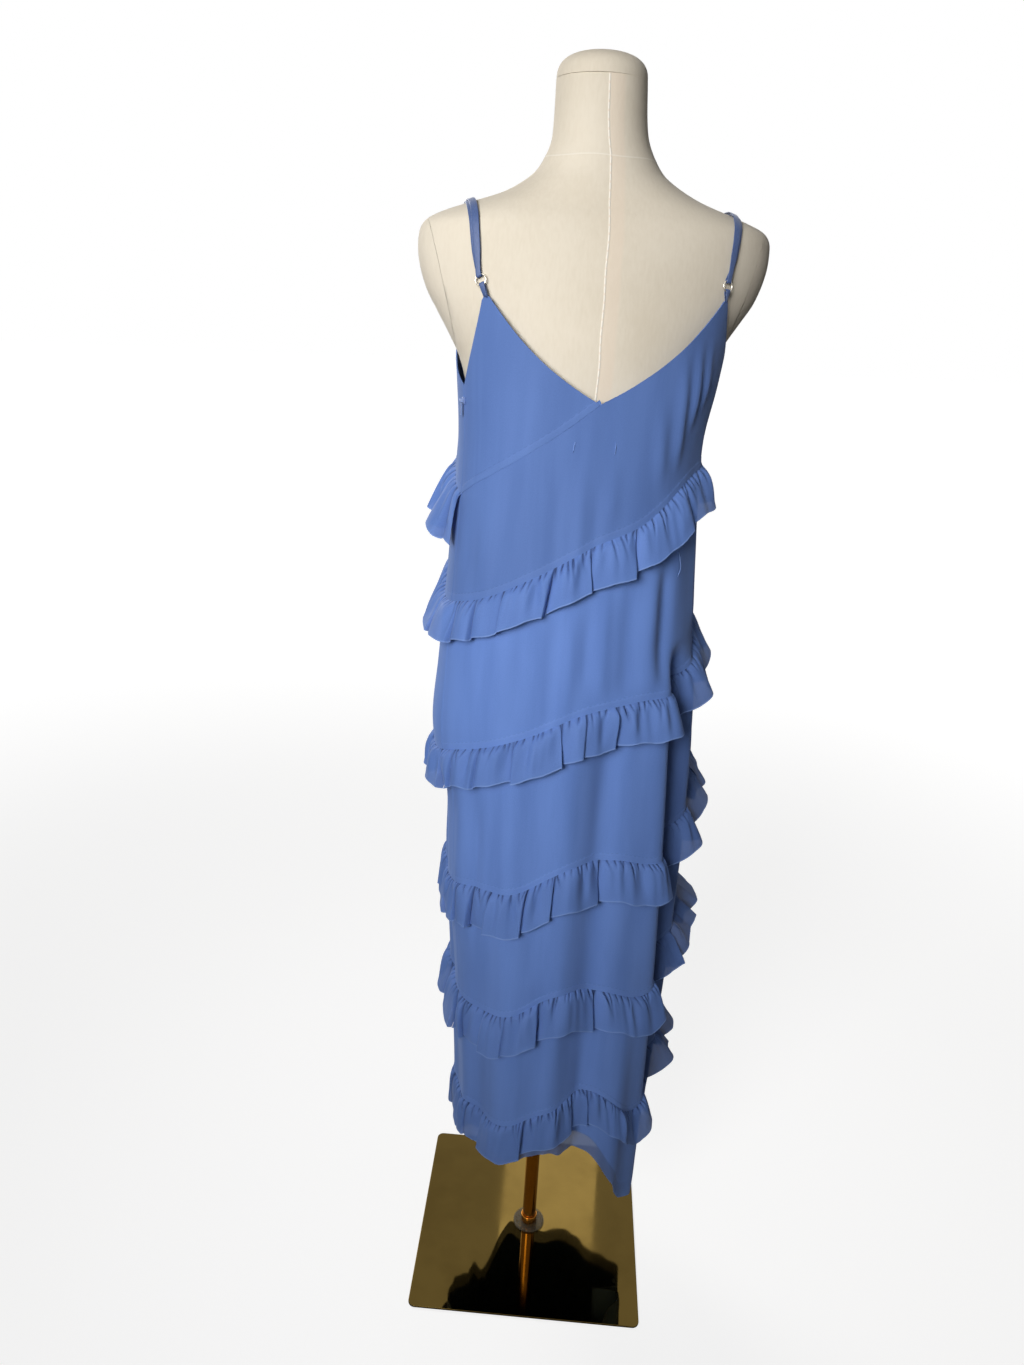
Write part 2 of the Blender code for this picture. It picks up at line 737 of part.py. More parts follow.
def build_strap(name, shoulder, back_peak, front_peak):
    """One strap from the front strap point over the shoulder, round its ring and back again."""
    hold = RING_WIRE + LAY_GAP + STRAP_THICK / 2.0
    inner_lift = STRAP_LIFT + STRAP_THICK / 2.0
    outer_lift = inner_lift + STRAP_THICK + STRAP_LAYER_GAP
    peak_back = on_dress(back_peak, peak_height(back_peak) - SEAM_GAP / 2.0, -CLOTH / 2.0)

    ring_low = peak_back.z + RING_RISE
    bar_turn = shoulder_turn(shoulder, ring_low + 2.0 * RING_RADIUS, 0.0, 88.0)
    start_turn = shoulder_turn(shoulder, peak_height(front_peak) + STRAP_START, 0.0, -88.0)
    step = (bar_turn - start_turn) / STRAP_STATIONS
    turns = [start_turn + step * i for i in range(STRAP_STATIONS + 1)]
    line = [shoulder_point(shoulder, turn) for turn in turns]
    normals = [form_normal(point) for point in line]

    def station(place, lift, fan):
        """Station over the form; fan slides the layer sideways where the strap tops the shoulder."""
        ahead = line[min(place + 1, len(line) - 1)] - line[max(place - 1, 0)]
        across = ahead.normalized().cross(normals[place]).normalized()
        side = math.copysign(1.0, across.x * shoulder.side)
        width = STRAP_WIDTH if place < len(line) - 2 else STRAP_AT_RING
        bump = (SLIDER_WALL + LAY_GAP) * bell(turns[place] - SLIDER_TURN, SLIDER_BUMP_SPREAD)
        slide = side * fan * bell(turns[place] - STRAP_FAN_TURN, STRAP_FAN_SPREAD)
        centre = line[place] + normals[place] * (lift + bump) + across * slide
        return Station(centre, normals[place], across, width)

    last = station(len(line) - 1, 0.0, 0.0)
    bar = last.centre + last.normal * (inner_lift + hold)
    ring_down = (peak_back - bar).normalized()
    ring_centre = bar + ring_down * RING_RADIUS
    ring_normal = last.across.cross(ring_down).normalized()
    if ring_normal.dot(last.normal) < 0.0:
        ring_normal = -ring_normal
    across = ring_down.cross(ring_normal).normalized()
    if across.dot(last.across) < 0.0:
        across = -across

    stations = [seam_station(front_peak, last.across, STRAP_AT_RING, 0.0, -1.0)]
    for place in range(len(line) - 1):
        inner = station(place, inner_lift, STRAP_FAN)
        stations.append(inner._replace(normal=-inner.normal))
    stations.append(Station(bar - ring_normal * hold, -ring_normal, across, STRAP_AT_RING))
    stations += hairpin(bar + ring_down * RING_DIP, ring_down, ring_normal, across, STRAP_AT_RING, hold)
    stations.append(Station(bar + ring_normal * hold, ring_normal, across, STRAP_AT_RING))
    slider_place = max(round((SLIDER_TURN - start_turn) / step), 1)
    for place in range(len(line) - 2, slider_place - 2, -1):
        near_ring = math.exp(-(len(line) - 1 - place) / RING_BLEND)
        lift = outer_lift + (hold + inner_lift + hold - outer_lift) * near_ring
        stations.append(station(place, lift, 0.0))
    ribbon(f"strap_{name}", stations, STRAP_THICK, "strap")

    bpy.ops.mesh.primitive_torus_add(
        major_segments=20, minor_segments=6, major_radius=RING_RADIUS, minor_radius=RING_WIRE)
    ring = bpy.context.object
    ring.name = f"ring_{name}"
    ring.data.name = ring.name
    ring.matrix_world = axes_matrix(ring_centre, ring_normal.cross(ring_down), -ring_down, ring_normal)
    ring.data.materials.append(material("metal"))
    for group in list(ring.users_collection):
        group.objects.unlink(ring)
    PARTS.objects.link(ring)

    low_bar = bar + ring_down * 2.0 * RING_RADIUS
    layer = (STRAP_THICK + STRAP_LAYER_GAP) / 2.0
    stations = [seam_station(back_peak, across, STRAP_AT_RING, -layer, -1.0)]
    stations += hairpin(low_bar - ring_down * RING_DIP, -ring_down, ring_normal, across, STRAP_AT_RING, hold)
    stations.append(seam_station(back_peak, across, STRAP_AT_RING, layer, 1.0))
    ribbon(f"tab_{name}", stations, STRAP_THICK, "strap")

    seat = station(slider_place, (inner_lift + outer_lift) / 2.0, 0.0)
    ahead = seat.normal.cross(seat.across).normalized()
    frame = axes_matrix(seat.centre, seat.across, ahead, seat.normal)
    opening = 2.0 * STRAP_THICK + STRAP_LAYER_GAP + 2.0 * LAY_GAP + SLIDER_PLAY
    outer = (STRAP_WIDTH + 0.0028, SLIDER_LENGTH, opening + 2.0 * SLIDER_WALL)
    hole = (STRAP_WIDTH + 0.0010, SLIDER_LENGTH * 2.0, opening)
    slider = box(f"slider_{name}", frame, outer, (0.0, 0.0, 0.0), "metal")
    cutter = as_cutter(box(f"cut_slider_{name}", frame, hole, (0.0, 0.0, 0.0), "metal", CUTTERS))
    combine(slider, cutter, "DIFFERENCE")


# ---------------------------------------------------------------- zip


def build_zip():
    """Concealed zip in the left side seam: its tape inside, its slider and pull tab outside."""
    rows = []
    count = 8
    for row in range(count + 1):
        height = ZIP_TOP + (ZIP_BOTTOM - ZIP_TOP) * row / count
        line = []
        for turn in (-ZIP_HALF, 0.0, ZIP_HALF):
            line.append(on_dress(SIDE_LEFT + turn, height, -CLOTH - ZIP_BEHIND))
        rows.append(line)
    sheet("side_zip", rows, "cloth", ZIP_THICK, -1.0)

    out = outward(SIDE_LEFT)
    seat = on_dress(SIDE_LEFT, SLIDER_HEIGHT)
    up = (on_dress(SIDE_LEFT, SLIDER_HEIGHT + SLIDER_LENGTH) - seat).normalized()
    across = up.cross(out).normalized()
    out = across.cross(up).normalized()
    width, length, thick = SLIDER_BODY
    frame = axes_matrix(seat, across, up, out)
    body = box("zip_slider", frame, (width, length, thick), (0.0, 0.0, LAY_GAP + thick / 2.0), "metal")
    lug_base = LAY_GAP + thick
    pin_height = lug_base + LUG_HEIGHT - EYE_RADIUS
    for sign in (-1.0, 1.0):
        middle = lug_base + LUG_HEIGHT / 2.0 - LUG_ROOT
        place = (sign * (LUG_GAP + LUG_THICK) / 2.0, 0.0, middle)
        size = (LUG_THICK, 2.4 * EYE_RADIUS, LUG_HEIGHT + 2.0 * LUG_ROOT)
        lug = box(f"add_lug_{sign:+.0f}", frame, size, place, "metal", CUTTERS)
        combine(body, as_cutter(lug), "UNION")
    hinge = frame @ Vector((0.0, 0.0, pin_height))
    upright = Vector((0.0, 0.0, 1.0))
    swing = axes_matrix(hinge, across, upright, across.cross(upright))
    along = swing @ Matrix.Rotation(math.pi / 2.0, 4, "Y")
    pin_length = LUG_GAP + 1.5 * LUG_THICK
    pin = cylinder("add_pin", along, PIN_RADIUS, pin_length, 12, "metal", CUTTERS)
    combine(body, as_cutter(pin), "UNION")

    pull = cylinder("zip_pull", along, EYE_RADIUS, EYE_WIDTH, 16, "strap")
    start = EYE_HOLE + LUG_ROOT
    drop = PULL_LENGTH - EYE_RADIUS
    size = (EYE_WIDTH - FLUSH_STEP, drop, PULL_THICK)
    tab = box("add_tab", swing, size, (0.0, -start - drop / 2.0, 0.0), "strap", CUTTERS)
    combine(pull, as_cutter(tab), "UNION")
    size = (PULL_WIDTH, PULL_BLADE, PULL_THICK - FLUSH_STEP)
    place = (0.0, -start - drop + PULL_BLADE / 2.0, 0.0)
    blade = box("add_blade", swing, size, place, "strap", CUTTERS)
    combine(pull, as_cutter(blade), "UNION")
    hole = cylinder("cut_eye", along, EYE_HOLE, 3.0 * EYE_WIDTH, 12, "strap", CUTTERS)
    combine(pull, as_cutter(hole), "DIFFERENCE")


# ---------------------------------------------------------------- dress form and stand


def form_blank(name, finish="jersey", group=None):
    """Whole limbless form, before its arm caps are parted from it."""
    rings = []
    for row in FORM:
        ring = []
        for step in range(FORM_STEPS):
            angle = FULL_TURN * step / FORM_STEPS
            point = outward(angle) * reach(FORM, angle, row.height)
            ring.append(point + Vector((0.0, 0.0, row.height)))
        rings.append(ring)
    return loft(name, rings, finish, group)


def arm_block(name, side, inset):
    """Box that covers everything outside an arm's slanting plane, moved out by inset."""
    top = Vector((side * ARM_PLANE_TOP[0], 0.0, ARM_PLANE_TOP[1]))
    low = Vector((side * ARM_PLANE_LOW[0], 0.0, ARM_PLANE_LOW[1]))
    up = (top - low).normalized()
    out = Vector((side * up.z, 0.0, -side * up.x))
    forth = out.cross(up)
    size = (0.1, 0.4, ARM_BLOCK_HEIGHT)
    centre = (size[0] / 2.0 + inset, 0.0, 0.0)
    turn = axes_matrix((top + low) / 2.0, out, forth, up)
    return as_cutter(box(name, turn, size, centre, "jersey", CUTTERS))


def build_form():
    """Jersey-covered torso, its two arm caps and its neck cap."""
    torso = form_blank("form_torso")
    torso.data.shade_smooth()
    for side, name in ((1.0, "left"), (-1.0, "right")):
        combine(torso, arm_block(f"cut_arm_{name}", side, 0.0), "DIFFERENCE")
        cap = form_blank(f"form_arm_cap_{name}")
        cap.data.shade_smooth()
        combine(cap, arm_block(f"keep_arm_{name}", side, LAY_GAP), "INTERSECT")
    place = Matrix.Translation((0.0, 0.0, FORM[0].height))
    depth = 2.0 * (SOCKET_DEPTH + LAY_GAP)
    socket = cylinder("cut_socket", place, POLE_RADIUS + LAY_GAP, depth, 24, "gold", CUTTERS)
    combine(torso, as_cutter(socket), "DIFFERENCE")

    base = FORM[-1].height + LAY_GAP
    corners = [(0.0, CAP_TOP)]
    for step in range(1, CAP_STEPS + 1):
        lean = math.pi / 2.0 * step / CAP_STEPS
        rise = (CAP_TOP - base) * max(math.cos(lean), 0.0) ** CAP_SQUARE
        corners.append((CAP_RADIUS * math.sin(lean) ** CAP_SQUARE, base + rise))
    corners.append((0.0, base))
    cap = turned("form_neck_cap", corners, "jersey", FORM_STEPS)
    cap.location.x = CAP_SHIFT


def turned(name, corners, finish, steps=32):
    """Solid turned round Z from (radius, height) corners, from the top down its outer side."""
    profile = bpy.data.meshes.new(name)
    edges = [(i, i + 1) for i in range(len(corners) - 1)]
    if corners[0][0] > 0.0:
        edges.append((len(corners) - 1, 0))
    profile.from_pydata([(radius, 0.0, height) for radius, height in corners], edges, [])
    made = link_mesh(name, profile, finish)
    turn = made.modifiers.new("turn", "SCREW")
    turn.angle = 2.0 * math.pi
    turn.axis = "Z"
    turn.steps = steps
    turn.render_steps = steps
    turn.use_merge_vertices = True
    turn.merge_threshold = 0.00005
    turn.use_smooth_shade = True
    return made


def build_stand():
    """Gold pole in its sleeve and washer on a square mirror base."""
    top = BASE_THICK + LAY_GAP
    pole_top = FORM[0].height + SOCKET_DEPTH
    corners = ((0.0, pole_top), (POLE_RADIUS, pole_top), (POLE_RADIUS, top), (0.0, top))
    turned("stand_pole", corners, "gold")

    hole = POLE_RADIUS + LAY_GAP
    high = top + WASHER_THICK
    corners = ((hole, high), (WASHER_RADIUS, high), (WASHER_RADIUS, top), (hole, top))
    turned("stand_washer", corners, "washer")

    low = high + LAY_GAP
    high = low + SLEEVE_HEIGHT
    edge = ((SLEEVE_RADIUS - SLEEVE_EDGE, high), (SLEEVE_RADIUS, high - SLEEVE_EDGE))
    turned("stand_sleeve", ((hole, high), *edge, (SLEEVE_RADIUS, low), (hole, low)), "gold")

    turn = Matrix.Rotation(math.radians(BASE_TURN), 4, "Z")
    size = (BASE_SIDE, BASE_SIDE, BASE_THICK)
    base = box("stand_base", turn, size, (0.0, 0.0, BASE_THICK / 2.0), "mirror")
    shape = bmesh.new()
    shape.from_mesh(base.data)
    upright = []
    for edge in shape.edges:
        low, high = edge.verts
        if abs(high.co.z - low.co.z) > BASE_THICK / 2.0:
            upright.append(edge)
    bmesh.ops.bevel(shape, geom=upright, offset=BASE_CORNER, segments=4, profile=0.5, affect="EDGES")
    shape.to_mesh(base.data)
    shape.free()


def main():
    """Build the dress, its straps and zip, the form and the stand."""
    build_bodice()
    build_skirt()
    build_strap("left", SHOULDER_LEFT, BACK_PEAK_LEFT, FRONT_PEAK_LEFT)
    build_strap("right", SHOULDER_RIGHT, BACK_PEAK_RIGHT, FRONT_PEAK_RIGHT)
    build_zip()
    build_form()
    build_stand()


main()
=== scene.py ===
"""Looks of a slip dress with tilted gathered frills, worn by a limbless dress form on a stand.

Metres, +Z up. The dress's front faces -Y and the wearer's left is +X. Angles round the Z axis
are in degrees from centre back and grow towards the wearer's left, so the left side is at 90,
centre front at 180 and the right side at 270. Back pieces use angles from -92 to 76.
"""

import logging
import math
from dataclasses import dataclass, field
from enum import Enum
from typing import Callable, NamedTuple, Sequence

import bmesh
import bpy
import numpy as np
from bpy.types import ID, Material, Mesh, Node, NodeSocket, Object
from mathutils import Matrix, Vector


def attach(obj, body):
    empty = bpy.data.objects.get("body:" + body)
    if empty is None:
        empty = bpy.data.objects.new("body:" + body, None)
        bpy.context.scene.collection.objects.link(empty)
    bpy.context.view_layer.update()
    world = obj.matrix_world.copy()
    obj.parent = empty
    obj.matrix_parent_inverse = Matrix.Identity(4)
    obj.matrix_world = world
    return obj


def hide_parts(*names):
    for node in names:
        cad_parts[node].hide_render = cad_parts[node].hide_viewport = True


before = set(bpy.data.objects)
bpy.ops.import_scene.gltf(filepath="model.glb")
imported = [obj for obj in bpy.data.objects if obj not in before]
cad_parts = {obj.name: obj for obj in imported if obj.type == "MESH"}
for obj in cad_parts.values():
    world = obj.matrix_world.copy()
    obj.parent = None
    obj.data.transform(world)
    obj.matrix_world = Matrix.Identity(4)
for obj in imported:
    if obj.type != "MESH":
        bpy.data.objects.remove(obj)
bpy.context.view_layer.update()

LOG = logging.getLogger("slip_dress")
DRESS_BODY = "dress_and_stand"
PULL_BODY = "zip_pull"

# Cloth and seams, as the solids have them
CLOTH = 0.0010
SIDE_LEFT = 76.0
SIDE_RIGHT = 268.0
FULL_TURN = 360.0
PEAK_HALF = 1.5
BACK_PEAK_LEFT = 61.0
BACK_PEAK_RIGHT = -66.0
FRONT_PEAK_LEFT = 117.0
FRONT_PEAK_RIGHT = 243.0
PEAK_HEIGHT_LEFT = 1.374
PEAK_HEIGHT_RIGHT = 1.381
BACK_POINT = 1.269
FRONT_POINT = 1.253
ARMHOLE_LOW = 1.279
YOKE_LOW_LEFT = 1.158
SEAM_STEP = 30.0
FOLD_END = 0.241
FAR = 1.0
SHARP_TURN = 35.0

Array = np.ndarray
Triple = tuple[float, float, float]
Pair = tuple[float, float]
Heights = Callable[[Array], Array]


class Section(NamedTuple):
    """Reach from the axis at one height; the squares are exponents of the rounded outline."""

    height: float
    left: float
    right: float
    back: float
    front: float
    back_square: float
    front_square: float


class Fold(NamedTuple):
    """Lengthwise fold that starts at top and grows to its full depth (+ out) at the hem."""

    angle: float
    spread: float
    top: float
    depth: float
    lean: float = 0.0


class Crease(NamedTuple):
    """Soft trough (-) or ridge (+) between two heights; lean turns it, in degrees a metre down."""

    angle: float
    spread: float
    top: float
    bottom: float
    depth: float
    lean: float = 0.0


class FrillCut(NamedTuple):
    """A frill's drop and its stand-off at the hem: usual, at the left side, at the right side."""

    drop: float
    flare: float
    left: float
    right: float


class Valley(NamedTuple):
    """Deep fold of a frill: angle, depth (0 to 1), width, overlap, lean to the hem, in metres."""

    angle: float
    depth: float
    width: float
    overlap: float
    lean: float


class Shoulder(NamedTuple):
    """A strap's line over one shoulder: its side, its reach on top, and its drift inwards."""

    side: float
    reach: float
    drift: float


class Station(NamedTuple):
    """A place along a band: its centre, outward normal, width's direction, and width."""

    centre: Vector
    normal: Vector
    across: Vector
    width: float


class Hold(Enum):
    """How a piece of cloth is held."""

    DRAPED = "draped"
    HUNG = "hung"
    GATHERED = "gathered"


DRESS_SECTIONS = tuple(Section(*row) for row in (
    (0.091, 0.117, 0.151, 0.118, 0.125, 2.0, 2.5), (0.291, 0.118, 0.159, 0.118, 0.128, 2.0, 2.5),
    (0.491, 0.131, 0.166, 0.118, 0.130, 2.0, 2.5), (0.651, 0.144, 0.169, 0.118, 0.130, 2.0, 2.5),
    (0.771, 0.149, 0.169, 0.118, 0.130, 2.0, 2.5), (0.851, 0.168, 0.167, 0.119, 0.130, 2.0, 2.5),
    (0.941, 0.163, 0.160, 0.118, 0.128, 2.1, 2.4), (1.091, 0.152, 0.146, 0.112, 0.126, 2.3, 2.3),
    (1.211, 0.146, 0.141, 0.105, 0.134, 2.3, 2.3), (1.291, 0.150, 0.154, 0.103, 0.136, 2.3, 2.3),
    (1.381, 0.158, 0.165, 0.103, 0.110, 2.3, 2.3),
))
FORM_SECTIONS = tuple(Section(*row) for row in (
    (0.821, 0.120, 0.120, 0.084, 0.084, 2.2, 2.2), (0.841, 0.134, 0.134, 0.094, 0.092, 2.2, 2.2),
    (0.921, 0.145, 0.142, 0.100, 0.098, 2.0, 2.2), (1.011, 0.132, 0.130, 0.092, 0.098, 2.1, 2.2),
    (1.111, 0.116, 0.116, 0.082, 0.098, 2.2, 2.2), (1.191, 0.126, 0.124, 0.085, 0.112, 2.2, 2.2),
    (1.271, 0.138, 0.136, 0.090, 0.122, 2.1, 2.1), (1.307, 0.147, 0.145, 0.092, 0.114, 2.0, 2.0),
    (1.333, 0.160, 0.159, 0.092, 0.106, 1.9, 1.9), (1.359, 0.175, 0.176, 0.090, 0.098, 1.85, 1.85),
    (1.381, 0.187, 0.190, 0.088, 0.092, 1.8, 1.8), (1.411, 0.1955, 0.2000, 0.085, 0.086, 1.8, 1.8),
    (1.436, 0.1955, 0.2015, 0.080, 0.078, 1.85, 1.85),
    (1.449, 0.189, 0.198, 0.076, 0.072, 1.9, 1.9), (1.458, 0.174, 0.187, 0.073, 0.067, 1.9, 1.9),
    (1.469, 0.143, 0.156, 0.068, 0.062, 1.95, 1.95), (1.481, 0.107, 0.118, 0.064, 0.057, 2.0, 2.0),
    (1.494, 0.083, 0.090, 0.060, 0.052, 2.0, 2.0), (1.507, 0.068, 0.071, 0.056, 0.049, 2.0, 2.0),
    (1.531, 0.0555, 0.0550, 0.051, 0.047, 2.0, 2.0),
    (1.551, 0.0530, 0.0490, 0.049, 0.047, 2.0, 2.0),
    (1.594, 0.0525, 0.0450, 0.048, 0.0475, 2.0, 2.0),
))
FOLDS = tuple(Fold(*row) for row in (
    (303.0, 5.0, 0.991, -0.016, -26.0), (287.0, 5.0, 0.971, 0.005, -24.0),
    (279.0, 5.0, 0.971, -0.010, -18.0), (259.0, 8.0, 0.991, 0.016), (238.0, 8.0, 0.891, -0.008),
    (315.0, 8.0, 0.611, 0.009), (336.0, 8.0, 0.591, -0.007), (28.0, 10.0, 0.941, 0.010),
    (56.0, 8.0, 0.691, -0.005), (104.0, 9.0, 0.891, 0.008), (133.0, 9.0, 0.971, -0.011),
    (160.0, 9.0, 0.791, 0.010), (190.0, 9.0, 0.911, -0.008), (214.0, 9.0, 0.961, 0.009),
))
# Heights of the frill seams and of the hem, every 30 degrees round from centre back
SEAMS = (
    (1.113, 1.077, 1.041, 1.030, 1.075, 1.104, 1.138, 1.175, 1.205, 1.207, 1.188, 1.140),
    (0.913, 0.881, 0.852, 0.829, 0.846, 0.896, 0.956, 1.000, 1.030, 0.995, 0.939, 0.927),
    (0.707, 0.668, 0.655, 0.641, 0.663, 0.721, 0.776, 0.828, 0.852, 0.788, 0.703, 0.712),
    (0.520, 0.482, 0.465, 0.470, 0.501, 0.531, 0.563, 0.610, 0.636, 0.588, 0.496, 0.513),
    (0.329, 0.299, 0.288, 0.281, 0.291, 0.336, 0.376, 0.405, 0.420, 0.372, 0.289, 0.345),
    (0.251, 0.241, 0.251, 0.196, 0.192, 0.212, 0.158, 0.165, 0.162, 0.155, 0.127, 0.237),
)
TIERS = len(SEAMS) - 1
# What every piece of chiffon carries for its finish: distances to edges, and shares of sheerness
# and of painted shade
PLAIN_MARKS = {"to_hem": FAR, "to_seam": FAR, "to_edge": FAR, "sheer": 0.0, "shade": 0.0,
               "bodice_shade": 0.0}
# Waves all round the hem: height, count and start
HEM_WAVES = ((0.0040, 11.0, 0.6), (0.0022, 23.0, 2.0))
# Lifts and dips of the hem: angle, spread and height
HEM_DIPS = ((-67.0, 17.0, -0.014), (-20.0, 12.0, -0.004), (158.0, 7.5, 0.055),
            (174.0, 6.0, -0.024))
# Soft creases that the cloth hangs in: the back's are placed one by one
CREASES = tuple(Crease(*row) for row in (
    (-47.0, 3.2, 1.335, 1.190, 0.0034, -14.0), (-54.5, 2.4, 1.350, 1.230, 0.0040, -8.0),
    (-61.0, 2.2, 1.350, 1.250, 0.0034, -6.0), (-37.0, 4.0, 1.290, 1.170, 0.0022, -16.0),
    (37.0, 6.0, 1.290, 1.165, 0.0012, 6.0), (22.0, 5.0, 1.220, 1.060, -0.0012, -4.0),
    (8.0, 4.0, 1.225, 1.075, 0.0013, -4.0), (-2.0, 4.0, 1.200, 1.090, -0.0011, 0.0),
    (-11.0, 4.5, 1.230, 1.120, 0.0012, 0.0), (65.0, 4.5, 1.170, 1.050, -0.0013, 12.0),
    (55.0, 4.5, 1.160, 1.035, 0.0014, 10.0), (-46.0, 4.0, 1.120, 0.930, -0.0032, 0.0),
    (-38.0, 5.0, 1.110, 0.915, 0.0022, 0.0), (-25.0, 5.0, 1.100, 0.920, -0.0018, 0.0),
    (-11.0, 4.5, 1.090, 0.915, 0.0017, 2.0), (-1.0, 3.5, 1.070, 0.930, -0.0012, 0.0),
    (7.5, 4.0, 1.060, 0.890, 0.0014, 4.0), (18.0, 5.0, 1.060, 0.870, -0.0018, 4.0),
    (46.0, 8.0, 1.040, 0.840, 0.0018, 0.0), (-20.0, 11.0, 0.930, 0.150, -0.0078, 0.0),
    (3.0, 8.0, 0.900, 0.250, 0.0024, -4.0), (22.0, 7.0, 0.860, 0.520, -0.0016, 0.0),
    (36.0, 7.0, 0.850, 0.200, 0.0028, 4.0), (66.0, 6.0, 0.820, 0.620, 0.0022, 26.0),
    (57.0, 4.0, 0.800, 0.560, -0.0026, 6.0), (71.0, 6.0, 0.480, 0.180, 0.0016, 6.0),
    (-8.0, 7.0, 0.500, 0.260, -0.0020, 0.0), (-59.0, 5.6, 1.000, 0.020, -0.0200, -26.0),
    (-46.5, 8.5, 1.000, 0.020, 0.0062, -26.0), (-71.5, 3.0, 0.990, 0.020, 0.0050, -24.0),
    (-78.5, 3.2, 0.980, 0.020, -0.0080, -18.0), (-90.0, 4.0, 0.960, 0.150, 0.0030, 0.0),
    (-72.0, 5.0, 1.260, 0.990, 0.0020, 0.0), (-81.0, 4.0, 1.240, 1.010, -0.0016, 0.0),
))
FRILL_CUTS = tuple(FrillCut(*row) for row in (
    (0.047, 0.011, 0.015, 0.015), (0.050, 0.013, 0.018, 0.022), (0.055, 0.010, 0.008, 0.027),
    (0.055, 0.012, 0.013, 0.034), (0.053, 0.008, 0.003, 0.027),
))
YOKE_FRILL_CUT = FrillCut(0.060, 0.014, 0.023, 0.014)
# Deep folds of each frill where they are placed one by one; the hidden ones are drawn by lot
VALLEYS = tuple(tuple(Valley(*row) for row in rows) for rows in (
    (
        (-80.0, 0.85, 0.0050, 0.004, 0.000), (265.0, 0.95, 0.0055, 0.003, 0.000),
        (-56.0, 0.90, 0.0050, 0.006, 0.006), (-26.0, 0.90, 0.0045, 0.006, 0.007),
        (0.0, 0.80, 0.0060, 0.006, -0.002), (20.0, 0.85, 0.0065, 0.005, 0.008),
        (44.0, 0.55, 0.0055, 0.003, 0.000), (58.0, 0.60, 0.0060, 0.004, -0.003),
    ),
    (
        (-81.0, 0.95, 0.0060, 0.004, 0.000), (265.0, 0.95, 0.0060, 0.003, 0.000),
        (-60.0, 0.95, 0.0075, 0.004, 0.004), (-22.0, 0.80, 0.0045, 0.005, 0.004),
        (-4.0, 0.45, 0.0050, 0.002, 0.002), (10.0, 0.90, 0.0055, 0.007, -0.002),
        (35.0, 0.50, 0.0055, 0.003, -0.003), (52.0, 0.35, 0.0060, 0.002, 0.002),
        (66.0, 0.45, 0.0055, 0.003, 0.003),
    ),
    (
        (-80.0, 0.95, 0.0060, 0.004, 0.000), (265.0, 0.95, 0.0060, 0.003, 0.000),
        (-66.0, 0.95, 0.0070, 0.005, 0.003), (-21.0, 0.85, 0.0055, 0.006, 0.004),
        (8.0, 0.90, 0.0060, 0.006, 0.005), (24.0, 0.90, 0.0055, 0.006, 0.005),
        (46.0, 0.70, 0.0050, 0.005, 0.001), (58.0, 0.90, 0.0060, 0.006, 0.004),
    ),
    (
        (-80.0, 0.95, 0.0065, 0.004, 0.000), (264.0, 0.95, 0.0065, 0.003, 0.000),
        (-71.0, 0.90, 0.0070, 0.005, 0.002), (-25.0, 0.90, 0.0060, 0.006, 0.004),
        (12.5, 0.95, 0.0065, 0.007, 0.002), (32.0, 0.40, 0.0050, 0.002, 0.000),
        (49.0, 0.65, 0.0055, 0.005, -0.002), (66.0, 0.70, 0.0060, 0.005, -0.002),
    ),
    (
        (-80.0, 0.95, 0.0065, 0.004, 0.000), (264.0, 0.95, 0.0065, 0.003, 0.000),
        (-74.0, 0.80, 0.0060, 0.004, 0.000), (-27.0, 0.90, 0.0055, 0.006, 0.002),
        (-16.0, 0.60, 0.0045, 0.003, 0.000), (17.0, 0.95, 0.0065, 0.007, 0.005),
        (50.0, 0.65, 0.0055, 0.004, 0.001), (66.0, 0.60, 0.0060, 0.004, 0.000),
    ),
))
YOKE_VALLEYS = tuple(Valley(*row) for row in (
    (82.0, 0.55, 0.0060, 0.003, 0.002), (93.0, 0.80, 0.0060, 0.005, 0.002),
))


# ------------------------------------------------------------------ numbers


def smooth_step(share: Array) -> Array:
    """Ease a share from 0 to 1, and hold it beyond.

    Args:
        share: Values that are 0 at the start and 1 at the end.

    Returns:
        Eased values between 0 and 1.
    """
    held = np.clip(share, 0.0, 1.0)
    return held * held * (3.0 - 2.0 * held)


def bell(away: Array, spread: Array | float) -> Array:
    """Smooth bump of height 1 at 0 that fades over a spread."""
    return np.exp(-((away / spread) ** 2))


def drawn(lot: np.random.Generator, span: Pair, power: float = 1.0) -> float:
    """Number drawn by lot: at least the span's first, and at most its second more."""
    return span[0] + span[1] * lot.random() ** power


def turn_from(angle: Array, centre: float) -> Array:
    """Angles measured from a centre, between -180 and 180 degrees."""
    return (angle - centre + 180.0) % FULL_TURN - 180.0


def cubic(start: Array | Vector, end: Array | Vector, slope_low: Array | Vector,
          slope_high: Array | Vector, share: Array | float) -> Array | Vector:
    """Value at a share of a smooth curve from a start to an end, with a slope at each."""
    cube = 2.0 * start - 2.0 * end + slope_low + slope_high
    square = 3.0 * end - 3.0 * start - 2.0 * slope_low - slope_high
    return ((cube * share + square) * share + slope_low) * share + start


